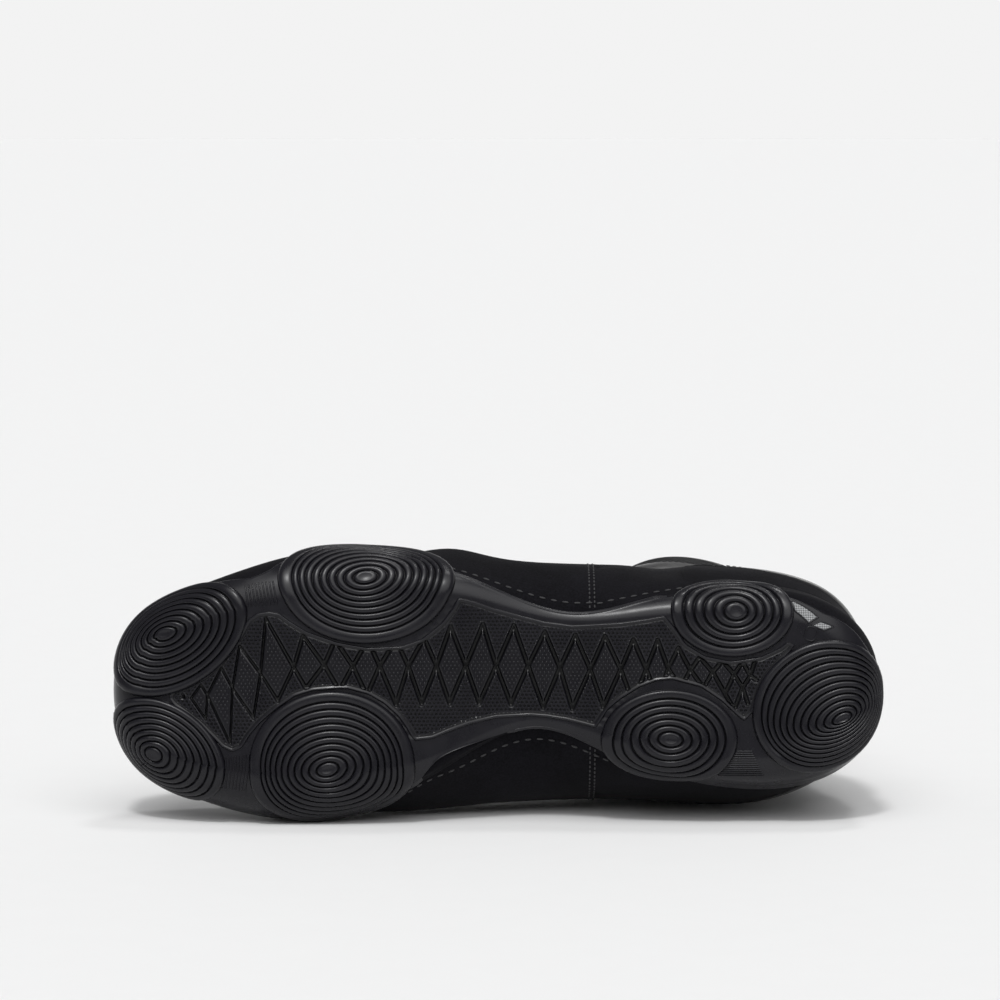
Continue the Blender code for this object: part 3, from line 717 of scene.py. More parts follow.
# Middle panel of the tread: outline on the lateral and medial side, then the crossing zigzag grooves
panelShape = {
    "across": 112, "along": 740, "ends": (22.4, 253.3), "height": 0.45, "bead": 0.66,
    "groove": 1.15, "grooveWidth": (0.42, 0.80), "margin": 1.6,
    "lateral": np.array((
        (22.4, 5.2), (22.8, 3.2), (24.6, 1.9), (28.7, 0.5), (35.4, -2.8), (40.8, -7.3), (45.3, -12.7), (48.9, -18.5),
        (51.5, -23.4), (55.1, -25.7), (59.2, -26.3), (63.2, -25.7), (66.8, -23.0), (73.5, -18.9), (84.7, -14.9),
        (95.9, -12.9), (108.2, -13.4), (115.7, -15.9), (123.2, -21.9), (127.7, -27.9), (129.1, -31.3),
        (135.7, -29.8), (142.6, -27.3), (154.3, -24.1), (160.8, -22.4), (171.2, -21.0), (178.2, -21.3),
        (189.1, -21.9), (198.1, -23.1), (205.5, -24.4), (210.4, -18.3), (213.2, -13.8), (220.3, -9.4),
        (229.7, -7.5), (240.6, -9.0), (247.8, -12.3), (250.6, -14.7), (253.3, -13.4))),
    "medial": np.array((
        (22.4, 5.2), (22.8, 7.2), (24.5, 8.8), (29.2, 12.1), (33.9, 15.7), (38.3, 20.0), (42.0, 23.8), (45.7, 25.6),
        (49.5, 24.0), (52.0, 19.7), (56.5, 14.6), (62.3, 9.7), (69.0, 5.2), (75.7, 3.2), (84.7, 2.5), (88.4, 2.5),
        (95.9, 4.5), (101.8, 7.9), (107.3, 12.9), (110.8, 17.9), (112.8, 21.6), (119.7, 20.9), (125.7, 18.4),
        (133.2, 15.7), (143.1, 13.4), (155.5, 12.7), (161.8, 13.2), (169.2, 14.4), (175.2, 15.9), (179.9, 17.2),
        (184.2, 10.4), (189.1, 6.5), (196.1, 2.2), (202.2, 0.0), (207.8, -0.6), (218.6, 2.2), (226.4, 7.6),
        (232.2, 13.1), (234.6, 14.8), (237.9, 11.5), (240.1, 4.3), (242.8, -1.1), (247.8, -6.7), (252.1, -11.2),
        (253.3, -13.4))),
    # waist, lateral apex and medial apex of each diamond
    "diamonds": np.array((
        (30.5, 5.6, 34.2, 0.6, 36.0, 13.4), (36.6, 4.5, 41.8, -5.6, 45.1, 22.4),
        (45.9, 1.9, 48.5, -13.8, 53.7, 13.1), (56.3, -3.4, 58.2, -23.9, 62.7, 6.7),
        (68.6, -5.6, 72.0, -17.2, 73.1, 2.2), (79.8, -6.5, 83.9, -15.7, 85.4, 3.0),
        (90.4, -6.0, 95.9, -15.7, 95.5, 4.8), (100.3, -6.0, 106.3, -15.7, 106.3, 8.2),
        (110.8, -6.0, 116.7, -16.4, 115.7, 7.9), (121.2, -6.0, 126.4, -20.5, 126.0, 7.8),
        (132.0, -6.0, 138.4, -21.3, 136.9, 7.8), (143.2, -6.0, 149.8, -20.9, 148.6, 8.2),
        (155.0, -6.0, 161.2, -18.4, 160.5, 9.4), (166.7, -5.2, 172.4, -17.2, 171.2, 10.0),
        (177.9, -4.5, 183.4, -16.7, 182.7, 9.4), (189.1, -4.5, 193.8, -15.4, 193.6, 7.8),
        (198.5, -4.5, 202.8, -15.2, 202.9, 6.7), (206.6, -4.8, 210.4, -12.3, 211.2, 2.4),
        (214.8, -4.2, 218.2, -8.9, 219.6, 2.4), (223.0, -3.4, 226.6, -7.6, 227.5, 4.6),
        (230.9, -2.5, 234.0, -7.2, 234.0, 2.4), (236.9, -2.0, 238.5, -7.2, 239.2, -0.5))),
    # single grooves
    "loose": (((227.5, 4.6), (229.8, 8.6)), ((234.0, 2.4), (231.2, 9.6)), ((234.0, 2.4), (235.9, 8.2))),
    "dimple": (27.6, 5.0), "dotPitch": 1.5, "dotWidth": 1.0, "dotHeight": 0.5,
}
panelX = np.linspace(*panelShape["ends"], panelShape["along"])


def panelSide(table):
    fine = np.linspace(*panelShape["ends"], 2400)
    return np.interp(panelX, fine, smoothed(table, fine, 24, 8, "edge"))


lateralSide, medialSide = panelSide(panelShape["lateral"]), panelSide(panelShape["medial"])
middle = (lateralSide[[0, -1]] + medialSide[[0, -1]]) / 2
lateralSide[[0, -1]] = medialSide[[0, -1]] = middle
panelEdge = np.concatenate((np.column_stack((panelX, lateralSide)), np.column_stack((panelX, medialSide))[::-1]))
diamonds = panelShape["diamonds"]
zigzags = []
for k in range(len(diamonds)):
    waist, apexes = diamonds[k, :2], (diamonds[k, 2:4], diamonds[k, 4:6])
    for apex in apexes:
        zigzags.append((waist, apex))
        if k + 1 < len(diamonds):
            zigzags.append((apex, diamonds[k + 1, :2]))
zigzags += [tuple(np.array(end) for end in groove) for groove in panelShape["loose"]]


def toSegments(points, segments):
    best = np.full(len(points), 1e9)
    for a, b in segments:
        along = b - a
        t = np.clip(((points - a) @ along) / (along @ along + 1e-9), 0, 1)
        best = np.minimum(best, np.linalg.norm(points - a - t[:, None] * along, axis=1))
    return best


def toEdge(points):
    return np.concatenate([np.sqrt(((part[:, None] - panelEdge[None]) ** 2).sum(-1).min(1))
                           for part in np.array_split(points, max(1, len(points) // 3000))])


def inDiamond(points):
    found = np.zeros(len(points), bool)
    for k in range(len(diamonds) - 1):
        corners = (diamonds[k, :2], diamonds[k, 2:4], diamonds[k + 1, :2], diamonds[k, 4:6])
        sides = [np.cross(b - a, points - a) for a, b in zip(corners, corners[1:] + corners[:1])]
        found |= np.all([s > 0 for s in sides], axis=0) | np.all([s < 0 for s in sides], axis=0)
    return found


share = np.linspace(0, 1, panelShape["across"])[:, None]
plan = np.stack((np.repeat(panelX[None], len(share), axis=0),
                 lateralSide[None] * (1 - share) + medialSide[None] * share), -1)
flatPlan = plan.reshape(-1, 2)
border = toEdge(flatPlan)
line = toSegments(flatPlan, zigzags)
inside = ramp(border, panelShape["margin"] - 0.4, panelShape["margin"] + 0.4)
thin, wide = panelShape["grooveWidth"]
grooveWidth = thin + (wide - thin) * ramp(flatPlan[:, 0], 45, 80)
cut = (1 - ramp(line / grooveWidth, 0.5, 1.4)) * inside
cut = np.maximum(cut, bump(np.linalg.norm(flatPlan - panelShape["dimple"], axis=1), 0, 0.75))
lift = (panelShape["height"] * ramp(border, 0.0, 0.5) - panelShape["groove"] * cut - 0.16 * bump(border, 1.45, 0.3)
        + (panelShape["bead"] - panelShape["height"]) * bump(border, 0.55, 0.4))
pits = (~inDiamond(flatPlan)).astype(float) * ramp(border, 1.7, 2.3) * ramp(line - grooveWidth, 0.3, 0.6)
# painted shade: darker in the zigzag grooves and the dimple, in the small groove inside the border bead and at the
# bead's foot; the diamonds are also made a little darker all over
paintedShadeAndTone = np.clip(cut + 0.7 * bump(border, 1.45, 0.3) + 0.5 * bump(border, -0.1, 0.25)
                 + 0.25 * inDiamond(flatPlan), 0, 1)
rows, columns = plan.shape[:2]
count, ids = rows * columns, np.arange(columns)
under = onSole(np.concatenate((plan[0], plan[-1])), -1.5)  # its underside is one strip from side to side
last = count - columns + ids
faces = np.concatenate((
    gridFaces(rows, columns), gridFaces(2, columns, count)[:, ::-1],
    np.stack((ids[:-1], ids[1:], count + ids[1:], count + ids[:-1]), -1),
    np.stack((last[1:], last[:-1], count + columns + ids[:-1], count + columns + ids[1:]), -1)))
blank = np.zeros(2 * columns)
tread = addMesh("tread_panel", np.concatenate((onSole(flatPlan, lift), under)), faces, dottedRubber,
                marks={"pits": np.concatenate((pits, blank)), "paintedShadeAndTone": np.concatenate((paintedShadeAndTone, blank))})
settle(tread)

pitch = panelShape["dotPitch"]
dots = np.array([(20 + k * pitch + (j % 2) * pitch / 2, -32 + j * pitch * 0.866)
                 for j in range(46) for k in range(158)])
dots = dots[inDiamond(dots)]
edgeAt = np.array([np.interp(dots[:, 0], panelX, lateralSide), np.interp(dots[:, 0], panelX, medialSide)])
dots = dots[(dots[:, 1] > edgeAt[0]) & (dots[:, 1] < edgeAt[1])]
dots = dots[(toSegments(dots, zigzags) > 1.35) & (toEdge(dots) > 2.1)]
dotPoints = onSole(dots, panelShape["height"])
facing = onSole(dots, panelShape["height"] + 1) - dotPoints
dotField = addBeads("tread_dots", dotPoints, np.tile((1.0, 0, 0), (len(dots), 1)), facing,
                    {"Length": panelShape["dotWidth"] * 1e-3, "Width": panelShape["dotWidth"] * 1e-3,
                     "Height": panelShape["dotHeight"] * 1e-3, "Segments": 8, "Rings": 5, "Finish": rubber})
settle(dotField)
print("tread panel ready,", len(dots), "dots")

# Outsole: the cup, from its keel out over the edge, round the lip and back inside; it is thinner under the panel
cupShape = {
    "columns": 400, "flat": 26, "roll": 26, "band": 12, "inside": 14, "bead": 0.3, "round": 0.7,
    "sink": 1.7, "step": 0.8,
    # turn in degrees and row of the rubber's visible edge, where it stays below the lip; above it the wall is faced
    "edge": np.array((
        (-180, 3.1), (-172, 2.73), (-167.5, 2.48), (-160, 2.3), (-154, 2.12), (-149, 1.98), (-143, 2.2), (-138, 2.45),
        (-132, 2.8), (-126, 3.0), (-121, 3.2), (-116, 3.6), (-109, 4.7), (-66, 4.9), (-62, 3.5), (-58.2, 2.95),
        (-55.5, 2.75), (-53.5, 2.42), (-49.5, 2.25), (-45, 2.7), (-40, 3.1), (-36, 3.5), (-31, 4.8), (74, 4.8), (78, 4.0),
        (79.6, 3.2), (81, 2.3), (82.5, 1.75), (84.5, 1.72), (86.5, 2.1), (88.5, 2.8), (91, 3.4), (95, 4.4), (160, 4.8),
        (168, 4.0), (174, 3.4), (180, 3.1))),
}


def dressZones(item, extras):  # further materials, by the mark that each corner carries
    for extra in extras:
        item.data.materials.append(extra)
    zone = np.empty(len(item.data.vertices), np.float32)
    item.data.attributes["zone"].data.foreach_get("value", zone)
    for face in item.data.polygons:
        face.material_index = int(round(zone[list(face.vertices)].min()))


def rubberEdge(turn):  # row where the rubber is seen to end
    fine = np.linspace(-180, 180, 1441)
    row = smoothed(cupShape["edge"], fine, 8, 4, "wrap")
    return np.minimum(np.interp(np.degrees(turn), fine, row), soleTop(turn) - 0.15)


turns = np.linspace(-np.pi, np.pi, cupShape["columns"] + 1)
top, edgeRow = soleTop(turns), rubberEdge(turns)
faced = ramp(top - edgeRow, 0.2, 0.5)  # 1 where the band shows
perRow, perRoll = rowLength(turns, 4), rowLength(turns, 2)
bandLift = soleFace + cupShape["bead"] * (1 - faced) - cupShape["step"] * faced
shown, hidden = np.where(faced > 0.5, 1, 0), 0 * turns
cupLines = []  # row, lift and zone of each line round the cup
for q in np.linspace(0, 1, cupShape["flat"], endpoint=False):
    spot = lastPoint(turns, q)
    inside = (ramp(spot[:, 1] - np.interp(spot[:, 0], panelX, lateralSide), 1.6, 2.4)
              * ramp(np.interp(spot[:, 0], panelX, medialSide) - spot[:, 1], 1.6, 2.4)
              * ramp(spot[:, 0], 25, 28) * (1 - ramp(spot[:, 0], 247, 250)))
    cupLines.append((np.full(turns.shape, q), soleFace - cupShape["sink"] * inside, hidden))
for q in np.linspace(0, 1, cupShape["roll"]):
    cupLines.append((1.0 + (edgeRow - 1.0) * q, soleFace + cupShape["bead"] * q**6 + hidden, hidden))
for reach, fall in ((0.25, 0.12), (0.42, 0.5), (0.5, 1.0)):
    bandStart = np.minimum(edgeRow + reach / perRoll, edgeRow + 0.1 * reach / 0.5)
    crest = soleFace + cupShape["bead"]
    cupLines.append((bandStart, crest + (bandLift - crest) * fall, shown if fall == 1.0 else hidden))
for q in np.linspace(0, 1, cupShape["band"])[1:]:
    cupLines.append((bandStart + (top - bandStart) * q, bandLift + 0.35 * faced * math.sin(math.pi * q), shown))
for angle in np.radians((30, 65, 90, 115, 150)):
    cupLines.append((top + cupShape["round"] * math.sin(angle) / perRow,
                     shoe["gap"] + (bandLift - shoe["gap"]) * (1 + math.cos(angle)) / 2, shown))
for q in np.linspace(1, 0, cupShape["inside"]):
    cupLines.append((top * q, np.full(turns.shape, shoe["gap"]), hidden))
rowLines, liftLines, zoneLines = (np.array(part) for part in zip(*cupLines))
cup = addGrid("outsole_cup", offLast(turns[None, :], rowLines, liftLines), rubber, marks={"zone": zoneLines})
dressZones(cup, (suede,))
settle(cup, "outsole")
print("outsole cup ready")

# Fine ribs of the web between neighbouring pods
ribShape = {"radius": 0.3, "lift": 0.14, "points": 14, "rows": (
    # first rib's ends, last rib's ends, number of ribs
    ((52.0, -28.5), (51.5, -37.0), (62.5, -29.0), (61.5, -38.0), 9),
    ((43.5, 27.5), (43.0, 39.5), (52.0, 26.5), (51.5, 40.5), 8),
    ((231.9, 25.8), (237.2, 25.8), (225.2, 35.5), (242.3, 35.5), 13),
)}
ribs = []
for a, b, c, d, count in ribShape["rows"]:
    for t in np.linspace(0, 1, count):
        start, end = np.array(a) * (1 - t) + np.array(c) * t, np.array(b) * (1 - t) + np.array(d) * t
        ribs.append(onSole(start + (end - start) * np.linspace(0, 1, ribShape["points"])[:, None], ribShape["lift"]))
webRibs = addCords("web_ribs", ribs, {"Radius": ribShape["radius"] * 1e-3, "Sides": 8, "Finish": rubber})
settle(webRibs)
print("ribs ready")

# Upper: one wall from inside the cup to the collar, with its seams, padding and creases
upperShape = {
    "columns": 150, "footLine": 64, "seamX": 181.0, "seamStep": 0.45, "seamGroove": 0.5, "skin": 1.3, "pad": 2.2,
    "panelStep": 0.4, "throat": 8.05, "padRow": 10.0, "padRise": (9.95, 10.15), "padGroove": (0.55, 10.02, 0.05),
    "foot": 7.6, "footRise": (0.35, 215, 275), "footDip": (0.7, 206, 15), "footGroove": (0.25, 0.04, 0.03),
    # fuller or hollow places: how much, where, half width, and the rows where it starts, is full, fades and ends
    "ball": (3.4, 126, 15, (4.2, 5.6, 7.8, 9.4)), "heel": (3.4, -151, 16, (4.0, 5.4, 7.4, 9.2)),
    "ankle": (1.5, 205, 10, (4.4, 5.0, 6.9, 7.6)),
    # creases: middle turn in degrees, row, half length in degrees, half width in rows, depth, slant in rows
    "creases": ((0, 7.55, 34, 0.13, 0.8, 0.0), (0, 7.15, 40, 0.12, 0.7, 0.0), (0, 6.75, 30, 0.10, 0.45, 0.0),
                (-52, 8.9, 20, 0.16, 1.1, 0.5), (-62, 9.4, 20, 0.15, 1.0, 0.4), (56, 8.9, 20, 0.16, 1.1, 0.5),
                (64, 9.4, 20, 0.15, 1.0, 0.4), (-120, 8.7, 24, 0.16, 0.8, -0.3), (122, 8.7, 24, 0.16, 0.8, -0.3)),
}


def panelFoot(x):  # the row where the suede of the rear quarter gives way to the smooth ankle panel
    (rise, *risesAt), (dip, *dipsAt) = upperShape["footRise"], upperShape["footDip"]
    return upperShape["foot"] + rise * ramp(x, *risesAt) - dip * bump(x, *dipsAt)


def placeOn(key, where, row):
    amount, middle, width, rows = upperShape[key]
    return amount * bump(where, middle, width) * between(row, *rows)


def fullness(turn, row, x):  # the lateral side is fuller behind the ball and round the heel
    return (placeOn("ball", x, row) + placeOn("heel", np.degrees(turn), row)) * (turn < 0)


def upperSwell(turn, row, point):  # how far the suede stands off the last
    x, seam = point[..., 0], upperShape["seamX"]
    wall, low = ramp(row, 3.9, 4.1), 1 - ramp(row, 9.6, upperShape["padRow"])
    rear, above = ramp(x, seam + 0.5, seam + 1.0), row - panelFoot(x)
    swell = upperShape["seamStep"] * (1 - ramp(x, seam - 0.25, seam + 0.25)) * low * wall
    swell = swell - upperShape["seamGroove"] * bump(x, seam + 0.5, 0.55) * low
    swell = swell + upperShape["pad"] * ramp(row, *upperShape["padRise"]) * (0.65 + 0.35 * bump(row, 10.5, 0.4))
    depth, *grooveAt = upperShape["padGroove"]
    swell = swell - depth * bump(row, *grooveAt)
    swell = swell - placeOn("ankle", x, row) * (turn < 0)
    swell = swell + fullness(turn, row, x)
    swell = swell + upperShape["panelStep"] * rear * (1 - ramp(above, -0.02, 0.02)) * wall
    depth, *grooveAt = upperShape["footGroove"]
    swell = swell - depth * rear * bump(above, *grooveAt)
    for middle, at, reach, width, depth, slant in upperShape["creases"]:
        off = (np.degrees(turn) - middle) / reach
        centre = at + slant * off
        sides = bump(row, centre + 2 * width, width * 1.1) + bump(row, centre - 2 * width, width * 1.1)
        swell = swell - depth * np.exp(-off**2 * 1.6) * (bump(row, centre, width) - 0.45 * sides)
    return swell


upperRows = np.concatenate((np.linspace(2.0, upperShape["throat"], 70), (8.085, 8.12, 8.18, 8.25),
                            np.linspace(8.32, 11.0, 51)))
halfTurns = columnTurn(upperRows[:, None], np.linspace(0, shoe["columns"], upperShape["columns"] + 1)[None, :])


def footedRows(turn):  # rows of the upper's grid; one line of it follows the foot of the ankle panel
    row = np.repeat(upperRows[:, None], turn.shape[1], axis=1)
    line = upperShape["footLine"]
    low, at, high = upperRows[0], upperRows[line], upperShape["throat"]
    foot = panelFoot(offLast(turn[line], np.full(turn.shape[1], at), 0.0)[:, 0])[None, :]
    below = low + (row - low) * (foot - low) / (at - low)
    above = high - (high - row) * (high - foot) / (high - at)
    return np.where(row > high, row, np.where(row <= at, below, above))


def upperSheet(name, offset, thickness, materials, detailed):  # the lining has a quarter of the faces
    every = 1 if detailed else 2
    points, faces, first, marks = [], [], 0, {"alongMm": [], "acrossMm": [], "zone": []}
    for turn in (-halfTurns[:, ::-every], halfTurns[:, ::every]):
        row = footedRows(turn)[::every]
        turn = turn[::every]
        base = offLast(turn, row, 0.0)
        normal = offLast(turn, row, 1.0) - base
        swell = upperSwell(turn, row, base) * (1.0 if detailed else 0.35)
        points.append((base + normal * (offset + swell)[..., None]).reshape(-1, 3))
        faces.append(gridFaces(*turn.shape, first))
        first += turn.size
        marks["alongMm"].append((base[..., 0] - base[..., 1] * 0.2).ravel())
        marks["acrossMm"].append((base[..., 2] + base[..., 1] * 0.2).ravel())
        raised = np.arange(0, len(upperRows), every)[:, None] >= upperShape["footLine"]
        smooth = (base[..., 0] > upperShape["seamX"] + 0.7) & raised
        marks["zone"].append(np.where(row > upperShape["padRow"], 2, np.where(smooth, 1, 0)).ravel())
    marks = {k: np.concatenate(v) for k, v in marks.items()}
    item = addMesh(name, np.concatenate(points), np.concatenate(faces), materials[0], outward=False, marks=marks)
    wall = item.modifiers.new("wall", "SOLIDIFY")
    wall.thickness = thickness * 0.001
    wall.offset = -1.0
    wall.use_even_offset = False
    keepModifiers(item)
    if len(materials) > 1:
        dressZones(item, materials[1:])
    return item


vamp = upperSheet("upper_suede", 0.0, upperShape["skin"], (suede, trim, binding), True)
settle(vamp, "upper")
inset = upperShape["skin"] + 0.05
insideCloth = upperSheet("upper_lining", -inset, shoe["wall"] - inset, (lining,), False)
settle(insideCloth)

# Collar binding: a soft roll over the top edge, from one side of the throat round the heel to the other
bindingShape = {"width": 4.8, "height": 2.8, "points": 160, "sides": 16, "square": 0.6, "row": 10.97, "off": -0.7}
turnLine = wholeTurn(np.linspace(throatAt(11.0), 2 * np.pi - throatAt(11.0), bindingShape["points"]))
rim = offLast(turnLine, bindingShape["row"], bindingShape["off"])
ahead = unit(np.gradient(rim, axis=0))
across = unit(np.cross(offLast(turnLine, 11.0, 0.0) - offLast(turnLine, 10.9, 0.0), ahead))
up = np.cross(ahead, across)
order = np.arange(bindingShape["points"])
taper = np.clip(np.minimum(order, order[::-1]) / 3.0 + 0.25, 0, 1)[:, None, None]
angle = np.linspace(0, 2 * np.pi, bindingShape["sides"], endpoint=False)
wide, high = (rounded(part(angle), bindingShape["square"])[None, :, None] / 2 for part in (np.cos, np.sin))
grid = rim[:, None] + taper * (across[:, None] * wide * bindingShape["width"]
                               + up[:, None] * high * bindingShape["height"])
roll = addGrid("collar_binding", capped(rim, grid), binding, wrap=True)
settle(roll)
print("upper ready")


# Overlays: smooth pieces sewn on the suede, crowned and turned down at their edges
def overlayPlate(name, turn, row, offset, thickness, material, marks=None):
    up, along = np.arange(turn.shape[0])[:, None], np.arange(turn.shape[1])[None, :]
    inset = np.minimum(np.minimum(up, up[::-1]), np.minimum(along, along[:, ::-1]))  # grid lines from the nearest edge
    down = np.clip(1 - inset / 2.0, 0, 1) ** 2
    outer = offLast(turn, row, offset + thickness - down * thickness * 0.75)
    inner = offLast(turn, row, offset + 0 * turn)
    return addPlate(name, outer, inner, material, marks)


counterShape = {"column": 16, "crown": (6.5, 7.9), "off": 0.3, "suedeRows": 14, "step": 0.3, "columns": 150, "rows": 44,
                # how far round to the back, and the share of the height that is suede there
                "foot": np.array(((0.0, 0.95), (0.03, 0.9), (0.17, 0.66), (0.3, 0.42), (0.43, 0.29), (0.6, 0.23),
                                  (1.0, 0.22)))}
counterStart = np.pi * counterShape["column"] / shoe["columns"]
back = np.linspace(counterStart, 2 * np.pi - counterStart, counterShape["columns"])
rise = 1 - np.abs(back - np.pi) / (np.pi - counterStart)
back = wholeTurn(back)
foot = soleTop(back) + 0.04
lowCrown, highCrown = counterShape["crown"]
crown = lowCrown + (highCrown - lowCrown) * np.sin(rise * np.pi / 2) ** 2
footShare = np.interp(rise, counterShape["foot"][:, 0], counterShape["foot"][:, 1])
line, step = counterShape["suedeRows"], np.arange(counterShape["rows"])[:, None]
share = np.where(step <= line, footShare * step / line,
                 footShare + (1 - footShare) * (step - line) / (counterShape["rows"] - 1 - line))
counterRows = foot + (crown - foot) * share
counterTurns = np.repeat(back[None], len(share), axis=0)
counterOff = fullness(counterTurns, counterRows, offLast(counterTurns, counterRows, 0.0)[..., 0]) + counterShape["off"]
footRows = step <= line  # suede foot, smooth shell above it
counterThick = shoe["overlay"] * (0.35 + 0.65 * ramp(rise, 0.0, 0.35))[None, :] - counterShape["step"] * footRows
counter = overlayPlate("heel_counter_shell", counterTurns, counterRows, counterOff, counterThick, trim,
                       marks={"zone": footRows + 0 * counterTurns})
dressZones(counter, (suede,))
settle(counter, "heel_counter")

stayShape = {"columns": 2, "fine": 22, "rows": (8.14, 10.98), "radius": 2.0,
             "holes": (8.45, 8.9, 9.35, 9.8, 10.3, 10.75)}
stayRows = np.linspace(*stayShape["rows"], 90)[:, None]
stayTurns = columnTurn(stayRows, np.linspace(0, stayShape["columns"], stayShape["fine"])[None, :])
for side, name in ((-1, "eyestay_lateral"), (1, "eyestay_medial")):
    turn = stayTurns if side > 0 else -stayTurns[:, ::-1]
    row = np.repeat(stayRows, stayShape["fine"], axis=1)
    swell = upperSwell(turn, row, offLast(turn, row, 0.0))
    stay = overlayPlate(name + "_strip", turn, row, shoe["gap"] + np.maximum(swell, -0.2), shoe["overlay"], trim)
    punch = bmesh.new()
    for at in stayShape["holes"]:
        spot = np.array([side * columnTurn(at, 1)])
        ends = toWorld(np.concatenate((offLast(spot, at, -1.0), offLast(spot, at, 5.0))))
        axis = Vector(ends[1] - ends[0])
        place = Matrix.Translation(Vector(ends.mean(axis=0))) @ axis.to_track_quat("Z", "Y").to_matrix().to_4x4()
        bmesh.ops.create_cone(punch, cap_ends=True, segments=24, radius1=stayShape["radius"] * 1e-3,
                              radius2=stayShape["radius"] * 1e-3, depth=axis.length, matrix=place)
    holes = bpy.data.meshes.new(name + "_holes")
    punch.to_mesh(holes)
    punch.free()
    cutter = addObject(name + "_holes", holes)
    cutting = stay.modifiers.new("holes", "BOOLEAN")
    cutting.operation = "DIFFERENCE"
    cutting.solver = "EXACT"
    cutting.object = cutter
    keepModifiers(stay)
    bpy.data.objects.remove(cutter, do_unlink=True)
    settle(stay, name)
print("overlays ready")

# Tongue: a padded sheet under the throat, fullest down its middle, with a bound edge
tongueShape = {"rows": 70, "columns": 44, "thick": 3.6, "edge": 0.35, "under": 0.7,
               "halfRow": (7.5, 8.25, 9.0, 10.0, 11.0, 12.0), "halfTurn": (14.0, 22.0, 27.0, 33.0, 40.0, 40.0)}
tongueRows = np.linspace(7.5, 12.0, tongueShape["rows"])[:, None]
tongueHalf = np.radians(np.interp(tongueRows, tongueShape["halfRow"], tongueShape["halfTurn"]))
tongueHalf = tongueHalf * np.where(tongueRows > 11.5, np.sqrt(np.clip(1 - ((tongueRows - 11.5) / 0.62) ** 2, 0, 1)), 1)
spreadLine = np.sin(np.linspace(-1, 1, tongueShape["columns"]) * np.pi / 2)[None, :]
turn = tongueHalf * spreadLine
row = np.repeat(tongueRows, tongueShape["columns"], axis=1)
full = tongueShape["edge"] + (1 - tongueShape["edge"]) * np.sqrt(np.clip(1 - np.abs(spreadLine) ** 3, 0, 1))
full = full * np.sqrt(np.clip((12.0 - row) / 0.12, 0.12, 1)) * np.sqrt(np.clip((row - 7.5) / 0.12, 0.12, 1))
channels = 0.45 * sum(bump(row, at, 0.035) for at in (11.15, 11.45))
under = -shoe["wall"] - tongueShape["under"]
outer = offLast(turn, row, under - tongueShape["thick"] * (1 - full) / 2 - channels)
inner = offLast(turn, row, under - tongueShape["thick"] * (1 + full) / 2)
base = offLast(turn, row, 0.0)
tongue = addPlate("tongue_pad", outer, inner, tongueCloth,
                  marks={"alongMm": np.linalg.norm(base - base[:, 21:22], axis=-1) * np.sign(turn),
                         "acrossMm": base[..., 2] * 0.6 + base[..., 0] * 0.6})
settle(tongue, "tongue")

# Laces: a straight bar at the bottom, then a crossing for each pair of holes; the ends turn down into the holes
laceShape = {"width": 5.0, "thick": 1.2, "points": 40, "sides": 12}
stayLift = shoe["gap"] + shoe["overlay"]
holes = stayShape["holes"]
points, faces, first, marks = [], [], 0, {"alongMm": [], "acrossMm": []}
angle = np.linspace(0, 2 * np.pi, laceShape["sides"], endpoint=False)
wide, high = rounded(np.cos(angle), 0.5)[None] / 2, rounded(np.sin(angle), 0.8) / 2
runs = [(-1, holes[0], holes[0], 0.1)]
for k, pair in enumerate(zip(holes, holes[1:])):
    runs += [(-1, *pair, 0.0 if k % 2 else 1.0), (1, *pair, 1.0 if k % 2 else 0.0)]
for side, start, end, over in runs:
    t = np.linspace(0, 1, laceShape["points"])
    row = start + (end - start) * t
    turn = side * columnTurn(row, 1) * (1 - 2 * t)
    ends = bump(t, 0, 0.07) + bump(t, 1, 0.07)
    lift = stayLift + 0.9 + 1.25 * over * bump(t, 0.5, 0.2) + 0.35 * (1 - np.abs(2 * t - 1)) - 2.0 * ends
    path = offLast(turn, row, lift)
    up = offLast(turn, row, lift + 1.0) - path
    across = np.cross(up, unit(np.gradient(path, axis=0)))
    shape = (laceShape["width"] * (1 - 0.35 * ends))[:, None] * wide
    grid = capped(path, path[:, None] + across[:, None] * shape[..., None]
                  + up[:, None] * (laceShape["thick"] * high)[None, :, None])
    along = np.repeat(pathLength(path)[:, None], len(angle), axis=1)
    points.append(grid.reshape(-1, 3))
    faces.append(gridFaces(*grid.shape[:2], first, wrap=True)[:, ::-1])
    first += grid.shape[0] * grid.shape[1]
    for key, values in (("alongMm", along), ("acrossMm", shape)):
        marks[key].append(np.concatenate((values[:1], values, values[-1:])).ravel())
lacing = addMesh("lacing", np.concatenate(points), np.concatenate(faces), laceCloth,
                 marks={k: np.concatenate(v) for k, v in marks.items()})
settle(lacing, "laces")

# Insole: a thin foam sheet with a cloth top, turned up a little at its edge
insoleShape = {"columns": 240, "rows": 26, "thick": 3.0}
turns = np.linspace(-np.pi, np.pi, insoleShape["columns"] + 1)
share = np.linspace(0, 1, insoleShape["rows"])[:, None]
row = share * stationAt(turns, 7)[None, :]
thin = insoleShape["thick"] * (1 - 0.75 * ramp(share, 0.9, 1.0))
under = offLast(turns[None, :], row, -0.05)
above = offLast(turns[None, :], row, -thin)
grid = np.concatenate((under, above[::-1]))
measure = {"alongMm": grid[..., 0], "acrossMm": grid[..., 1]}
insole = addGrid("insole_sheet", grid, footbed, marks=measure)
settle(insole, "insole")
print("tongue, laces and insole ready")

